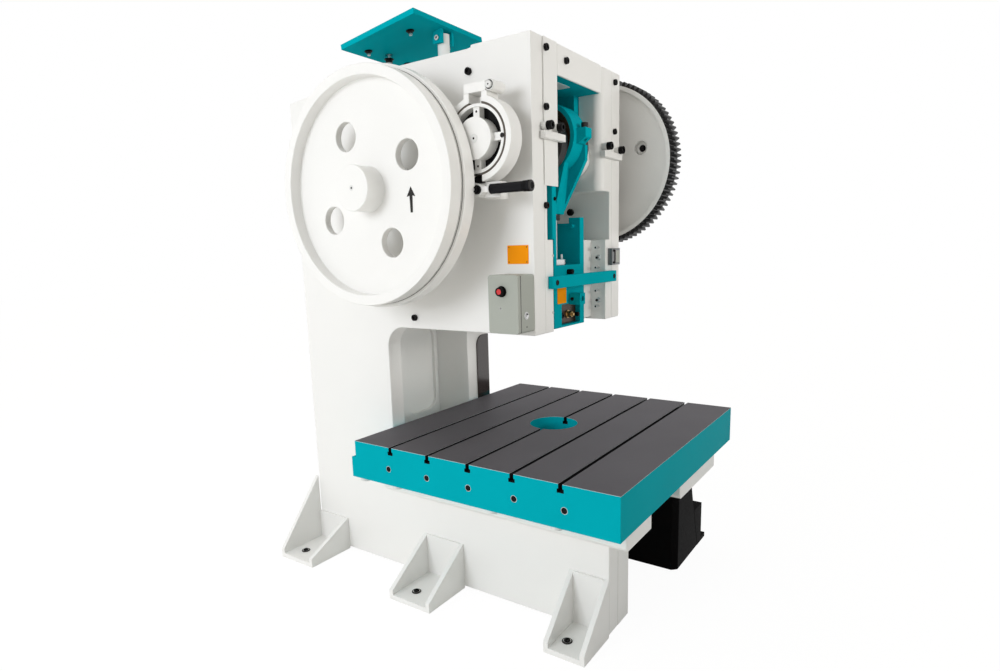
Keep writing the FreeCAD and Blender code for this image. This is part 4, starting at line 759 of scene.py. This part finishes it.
def brake_fittings(finishes):
    """Small pieces on the drum, the spring tube, the band, the lever's pin and its grip."""
    z = middle_of("crank_bushes")[2]
    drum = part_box("brake_drum")[0].x / MM
    shade_ring_x, screw_x, rivet_x = -545, -587, -580
    # Painted shade: a black ring behind the drum's spokes darkens the gaps between hub and rim.
    ring("drum_painted_shade", finishes, "black_plastic", "crank", (shade_ring_x, 0, z), LEFT,
         [(81.5, 0), (120, 0), (120, 3), (81.5, 3)])
    spindle("drum_centre", finishes, "white_plastic", "crank", (drum, 0, z), LEFT,
            [(17, 0), (17, 1.5), (15, 2.5), (5, 2.5)])
    # Painted shade: a black disc stands for the shade in the drum's centre hole.
    spindle("drum_centre_painted_shade", finishes, "black_plastic", "crank", (drum - 2.4, 0, z), LEFT,
            [(4.5, 0), (4.5, 0.3), (3, 0.5)])
    screw("drum_screw", finishes, "dark_steel", "crank", (screw_x, -126, z), LEFT, 9, 4)
    for up in (-1, 1):
        spindle(f"drum_rivet_{up}", finishes, "dark_steel", "crank", (rivet_x, 0, z + up * 104),
                LEFT, [(4.5, 0), (4.5, 0.6), (3, 1.2)])
    left, tube_y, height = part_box("brake_tie")[0].x / MM, -71, middle_of("brake_tie")[2]
    tube_end, plug_long = (left, tube_y, height), 10
    ring("tube_ring", finishes, "white_plastic", "frame", tube_end, LEFT,
         [(17.5, -0.5), (21.6, -0.5), (21.6, 2), (20.6, 3), (18.5, 3), (17.5, 2)])
    # Painted shade: a black ring fills the gap between the tube's ring and its plug.
    ring("tube_gap_painted_shade", finishes, "black_plastic", "frame", tube_end, LEFT,
         [(13.5, -0.5), (17.4, -0.5), (17.4, 0.4), (13.5, 0.4)])
    spindle("tube_plug", finishes, "white_plastic", "frame", tube_end, LEFT,
            [(13.4, -0.5), (13.4, 8), (12, plug_long), (3.5, plug_long)])
    # Painted shade: a black disc stands for the shade in the plug's hole.
    spindle("tube_plug_painted_shade", finishes, "black_plastic", "frame",
            (left - plug_long, tube_y, height), LEFT, [(3, 0), (3, 0.3), (2, 0.5)])
    plate("band_pad", finishes, "black_plastic", "frame", (-565, -4, 1932), LEFT, 44, 26, 18, 9)
    pin, pin_y, pin_z, boss_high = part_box("lever_pin")[0].x / MM, -8, 1891, 10
    spindle("lever_boss", finishes, "black_plastic", "frame", (pin, pin_y, pin_z), LEFT,
            [(17, 0), (18, 1.5), (18, 8), (16, boss_high)])
    screw("lever_screw", finishes, "black_plastic", "frame", (pin - boss_high, pin_y, pin_z),
          LEFT, 12, 10)
    grip_x, _, grip_z = middle_of("brake_grip")
    grip_front, grip_back = (corner.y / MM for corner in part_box("brake_grip"))
    place = (grip_x, grip_front, grip_z)
    ring("grip_end_ring", finishes, "dark_steel", "brake_lever", place, FRONT,
         [(13, -0.5), (21.5, -0.5), (21.5, 1.5), (18, 4), (13, 4)])
    spindle("grip_end", finishes, "black_plastic", "brake_lever", place, FRONT,
            [(12.8, -0.5), (12.8, 2), (9, 2.5), (6, 1.5)])
    for number, back in enumerate((18, 25, 33)):
        ring(f"grip_ring_{number}", finishes, "black_plastic", "brake_lever",
             (grip_x, grip_front + back, grip_z), FRONT, [(19, 0), (21, 0.8), (21, 3), (19, 4)])
    collar = 7
    ring("grip_collar", finishes, "white_plastic", "brake_lever",
         (grip_x, grip_back + collar, grip_z), FRONT,
         [(15.8, 0), (20.5, 0), (21.5, 1), (21.5, 6), (20.5, collar), (15.8, collar)])


def box_fittings(finishes):
    """The stop button's shroud, and the screw, a hole's painted shade, seam, latch ring and hinges
    of the box.
    """
    lid, lid_back = (corner.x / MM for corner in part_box("box_lid"))
    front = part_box("box_body")[0].y / MM
    low, high = (corner.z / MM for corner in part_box("box_body"))
    bezel, shroud_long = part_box("button_bezel")[0].x / MM, 18.5
    _, y, z = middle_of("button_bezel")
    ring("button_shroud", finishes, "black_plastic", "box_door", (bezel, y, z), LEFT,
         [(14.6, -0.5), (18.5, -0.5), (18.5, 17), (17.5, shroud_long), (14.6, shroud_long)])
    ring("button_lip", finishes, "black_plastic", "box_door", (bezel - shroud_long, y, z), LEFT,
         [(11.5, 0), (17.4, 0), (16.5, 1.6), (12.3, 1.6)])
    lid_screw = (lid, -70, 1414)
    ring("lid_screw_ring", finishes, "bright_steel", "box_door", lid_screw, LEFT,
         [(3.2, -0.3), (6, -0.3), (5.4, 1.0), (3.2, 1.0)])
    spindle("lid_screw", finishes, "black_plastic", "box_door", lid_screw, LEFT,
            [(3.1, -0.3), (3.1, 0.4), (2.0, 0.6)])
    # Painted shade: a black disc stands for the shade in a small hole in the box's front.
    spindle("box_hole_painted_shade", finishes, "black_plastic", "frame", (-486, front, 1334), FRONT,
            [(3.4, -0.3), (3.4, 0.3), (1.5, 0.4)])
    plate("box_seam", finishes, "dark_cover", "frame", (lid_back + 2.2, front, (low + high) / 2),
          FRONT, 4, high - low - 8, 0.4, 0.5, 0.1)
    latch_x, latch_z = -489, middle_of("box_latch")[2]
    ring("latch_ring", finishes, "bright_steel", "frame", (latch_x, front, latch_z), FRONT,
         [(12.5, -0.3), (16, -0.3), (15.4, 1.8), (12.5, 2.2)])
    hinge_x, hinge_y, from_end = -530, -6, 40
    for up in (low + from_end, high - from_end):
        spindle(f"box_hinge_{round(up)}", finishes, "box_paint", "frame", (hinge_x, hinge_y, up),
                UP, [(5, 0), (6, 1), (6, 30), (5, 31)])


def motor_fittings(finishes):
    """Bolts of the motor plate, the ends of its hinge pin, and the nuts on its adjusting rod."""
    tilt, front_y, front_z, thick = math.radians(7.9), 437, 2686, 24
    washer_thick, stud_start = 3.6, 13
    under = (0, -math.sin(tilt), -math.cos(tilt))
    over = (0, math.sin(tilt), math.cos(tilt))

    def lifted(place, height):
        """A point that far above the plate's lower face, or below it where negative."""
        return tuple(part + height * step for part, step in zip(place, over))

    for number, (x, along) in enumerate(((-310, 129), (-310, 409), (-30, 129), (-30, 409))):
        low = (x, front_y + along * math.cos(tilt), front_z - along * math.sin(tilt))
        spindle(f"motor_washer_{number}", finishes, "black_plastic", "motor_plate", low, under,
                [(18.5, -0.3), (19.5, 0.5), (19.5, 3), (18.5, washer_thick)])
        nut(f"motor_nut_{number}", finishes, "dark_steel", "motor_plate",
            lifted(low, -washer_thick), under, 12.5, 10, False)
        spindle(f"motor_stud_{number}", finishes, "bright_steel", "motor_plate",
                lifted(low, -stud_start), under, [(8, 0), (8, 7), (6.5, 9)])
        nut(f"motor_bolt_{number}", finishes, "dark_steel", "motor_plate", lifted(low, thick),
            over, 14, 10)
    pin, pin_y, pin_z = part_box("hinge_pin"), 485, 2645
    for word, x, facing in (("left", pin[0].x / MM, LEFT), ("right", pin[1].x / MM, RIGHT)):
        ring(f"hinge_washer_{word}", finishes, "white_plastic", "frame", (x, pin_y, pin_z),
             facing, [(5, -0.3), (11.5, -0.3), (11.5, 1.6), (10.5, 2.4), (5, 2.4)])
        spindle(f"hinge_dot_{word}", finishes, "black_plastic", "frame", (x, pin_y, pin_z),
                facing, [(4.8, -0.3), (4.8, 1.6), (3.5, 1.8)])
    x, y, roof = -190, 821, 2430
    middle = front_z - (y - front_y) * math.tan(tilt)
    spindle("adjuster_washer", finishes, "black_plastic", "frame", (x, y, middle - 22), UP,
            [(23, 0), (24, 0.8), (24, 4), (23, 4.8)])
    nut("adjuster_lock_nut", finishes, "dark_steel", "frame", (x, y, middle - 36), UP, 18, 14,
        False)
    nut("adjuster_deck_nut", finishes, "dark_steel", "frame", (x, y, roof), UP, 19, 16)
    nut("adjuster_top_nut", finishes, "dark_steel", "frame", (x, y, middle + 52), UP, 19, 13)


def bearing_fittings(finishes):
    """The screws of the drive shaft's flanged bearings."""
    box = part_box("shaft_bearings")
    _, y, z = middle_of("shaft_bearings")
    screws, circle, first = 6, 87, 30
    for side, x, facing in ((-1, box[0].x / MM, LEFT), (1, box[1].x / MM, RIGHT)):
        for number in range(screws):
            angle = math.radians(first + 360 / screws * number)
            screw(f"bearing_screw_{side}_{number}", finishes, "black_plastic", "frame",
                  (x, y + circle * math.cos(angle), z + circle * math.sin(angle)), facing, 8, 7)


def bolster_fittings(finishes):
    """A bright rim in the mouth of each hole along the bolster's left side, and a black disc of
    painted shade inside it.
    """
    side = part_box("bolster")[0].x / MM
    pitch, height, shade_disc_deep = 228, 678, 5
    for number in range(-2, 3):
        ring(f"side_insert_{number + 3}", finishes, "bright_steel", "frame",
             (side, pitch * number, height), LEFT,
             [(13.0, -1), (14.9, -1), (14.9, -9), (13.0, -9)], 28)
        # Painted shade: a black disc a little inside each hole stands for the shade deeper in it.
        spindle(f"side_hole_painted_shade_{number + 3}", finishes, "black_plastic", "frame",
                (side + shade_disc_deep, pitch * number, height), LEFT,
                [(12.8, -0.5), (12.8, 0.5), (6, 0.8)])


# ---------------------------------------------------------------- stage and camera

def lamp(name, place, target, size, power, colour, spread=180):
    """An area lamp that neither the camera nor a reflection shows; watts, metres and degrees."""
    data = bpy.data.lights.new(name, "AREA")
    data.shape = "RECTANGLE"
    data.size, data.size_y = size
    data.energy = power
    data.color = colour
    data.spread = math.radians(spread)
    light = bpy.data.objects.new(name, data)
    bpy.context.scene.collection.objects.link(light)
    light.location = place
    light.visible_camera = light.visible_glossy = False
    light.rotation_euler = (Vector(target) - Vector(place)).to_track_quat("-Z", "Y").to_euler()


def seen_directly(nodes, links):
    """1 for what the camera sees, in metal and glass too, and 0 for the light on the press."""
    path = nodes.new("ShaderNodeLightPath")
    maths = partial(arithmetic, nodes, links)
    in_glass = path.outputs["Is Transmission Ray"]
    indirectly = maths("MAXIMUM", path.outputs["Is Glossy Ray"], in_glass)
    return maths("MAXIMUM", path.outputs["Is Camera Ray"], indirectly)


def pale_stage():
    """A plain pale floor that shows as white and keeps the shadow under the press."""
    half_side, glow_strength, glow_share = 30, 1.03, 0.93
    bm = bmesh.new()
    bmesh.ops.create_grid(bm, x_segments=1, y_segments=1, size=half_side)
    mesh = bpy.data.meshes.new("floor")
    bm.to_mesh(mesh)
    bm.free()
    floor = bpy.data.objects.new("floor", mesh)
    bpy.context.scene.collection.objects.link(floor)
    material, nodes, links, shader = begin("floor_white")
    shader.inputs["Base Color"].default_value = (*FLOOR, 1)
    shader.inputs["Roughness"].default_value = 0.9
    glow = nodes.new("ShaderNodeEmission")
    glow.inputs["Strength"].default_value = glow_strength
    share = arithmetic(nodes, links, "MULTIPLY", seen_directly(nodes, links), glow_share)
    mix = nodes.new("ShaderNodeMixShader")
    links.new(share, mix.inputs["Fac"])
    links.new(shader.outputs["BSDF"], mix.inputs[1])
    links.new(glow.outputs["Emission"], mix.inputs[2])
    links.new(mix.outputs["Shader"], nodes["Material Output"].inputs["Surface"])
    mesh.materials.append(material)


def world():
    """White where it is seen; as light it is softer, and strongest from behind and above."""
    level, from_behind, from_above = 0.52, 0.36, 0.26
    place = bpy.data.worlds.new("studio")
    bpy.context.scene.world = place
    place.use_nodes = True
    nodes, links = place.node_tree.nodes, place.node_tree.links
    background = nodes["Background"]
    split = nodes.new("ShaderNodeSeparateXYZ")
    links.new(nodes.new("ShaderNodeTexCoord").outputs["Generated"], split.inputs["Vector"])
    maths = partial(arithmetic, nodes, links)
    light = maths("ADD", maths("MULTIPLY", split.outputs["Y"], from_behind), level)
    light = maths("ADD", light, maths("MULTIPLY", split.outputs["Z"], from_above))
    strength = nodes.new("ShaderNodeMapRange")
    links.new(light, strength.inputs["To Min"])
    strength.inputs["To Max"].default_value = 1.0
    seen = seen_directly(nodes, links)
    links.new(seen, strength.inputs["Value"])
    links.new(strength.outputs["Result"], background.inputs["Strength"])
    tint = blend_colour(nodes, links, seen, ROOM_LIGHT, PURE_WHITE)
    links.new(tint, background.inputs["Color"])


def photograph_camera():
    """A camera where the photograph was taken from."""
    yaw, pitch, roll = (math.radians(angle) for angle in (CAMERA_YAW, CAMERA_PITCH, CAMERA_ROLL))
    ahead = Vector((math.sin(yaw) * math.cos(pitch), math.cos(yaw) * math.cos(pitch),
                    -math.sin(pitch)))
    level = Vector((math.cos(yaw), -math.sin(yaw), 0))
    upright = level.cross(ahead)
    right = math.cos(roll) * level + math.sin(roll) * upright
    above = math.cos(roll) * upright - math.sin(roll) * level
    data = bpy.data.cameras.new("camera")
    data.sensor_width = SENSOR
    data.sensor_fit = "HORIZONTAL"
    data.lens = FOCAL_PIXELS / FRAME_PIXELS[0] * SENSOR
    data.shift_x = (FRAME_PIXELS[0] / 2 - CENTRE_PIXEL[0]) / FRAME_PIXELS[0]
    data.shift_y = (CENTRE_PIXEL[1] - FRAME_PIXELS[1] / 2) / FRAME_PIXELS[0]
    camera = bpy.data.objects.new("camera", data)
    bpy.context.scene.collection.objects.link(camera)
    turn = Matrix((right, above, -ahead)).transposed().to_4x4()
    camera.matrix_world = Matrix.Translation(Vector(CAMERA_PLACE) * MM) @ turn
    bpy.context.scene.camera = camera


def studio():
    """The background, the floor, the lamps and the camera."""
    bpy.context.scene.view_settings.view_transform = "Standard"
    world()
    pale_stage()
    lamp("key", (-6.5, 1.6, 3.0), (0, 0.3, 1.4), (2.6, 2.6), 172, COOL_LIGHT)
    lamp("throat_fill", (-0.05, 0.20, 1.08), (0, 0.7, 1.10), (0.5, 0.2), 0.55, WARM_LIGHT, 120)
    lamp("soffit_fill", (-0.2, 0.38, 0.86), (-0.2, 0.42, 1.4), (0.4, 0.3), 0.25, WARM_LIGHT, 100)
    lamp("front_fill", (0.5, -7.0, 3.0), (0, 0, 2.1), (3, 1.6), 8, WARM_LIGHT, 30)
    photograph_camera()


finishes = slot_materials()
dress_nodes(finishes)
for build in (fasteners, stop_screws, anchor_bolts, blank_plates, ram_fittings, column_fittings,
              wheel_fittings, gear_fittings, brake_fittings, box_fittings, motor_fittings,
              bearing_fittings, bolster_fittings):
    build(finishes)
studio()
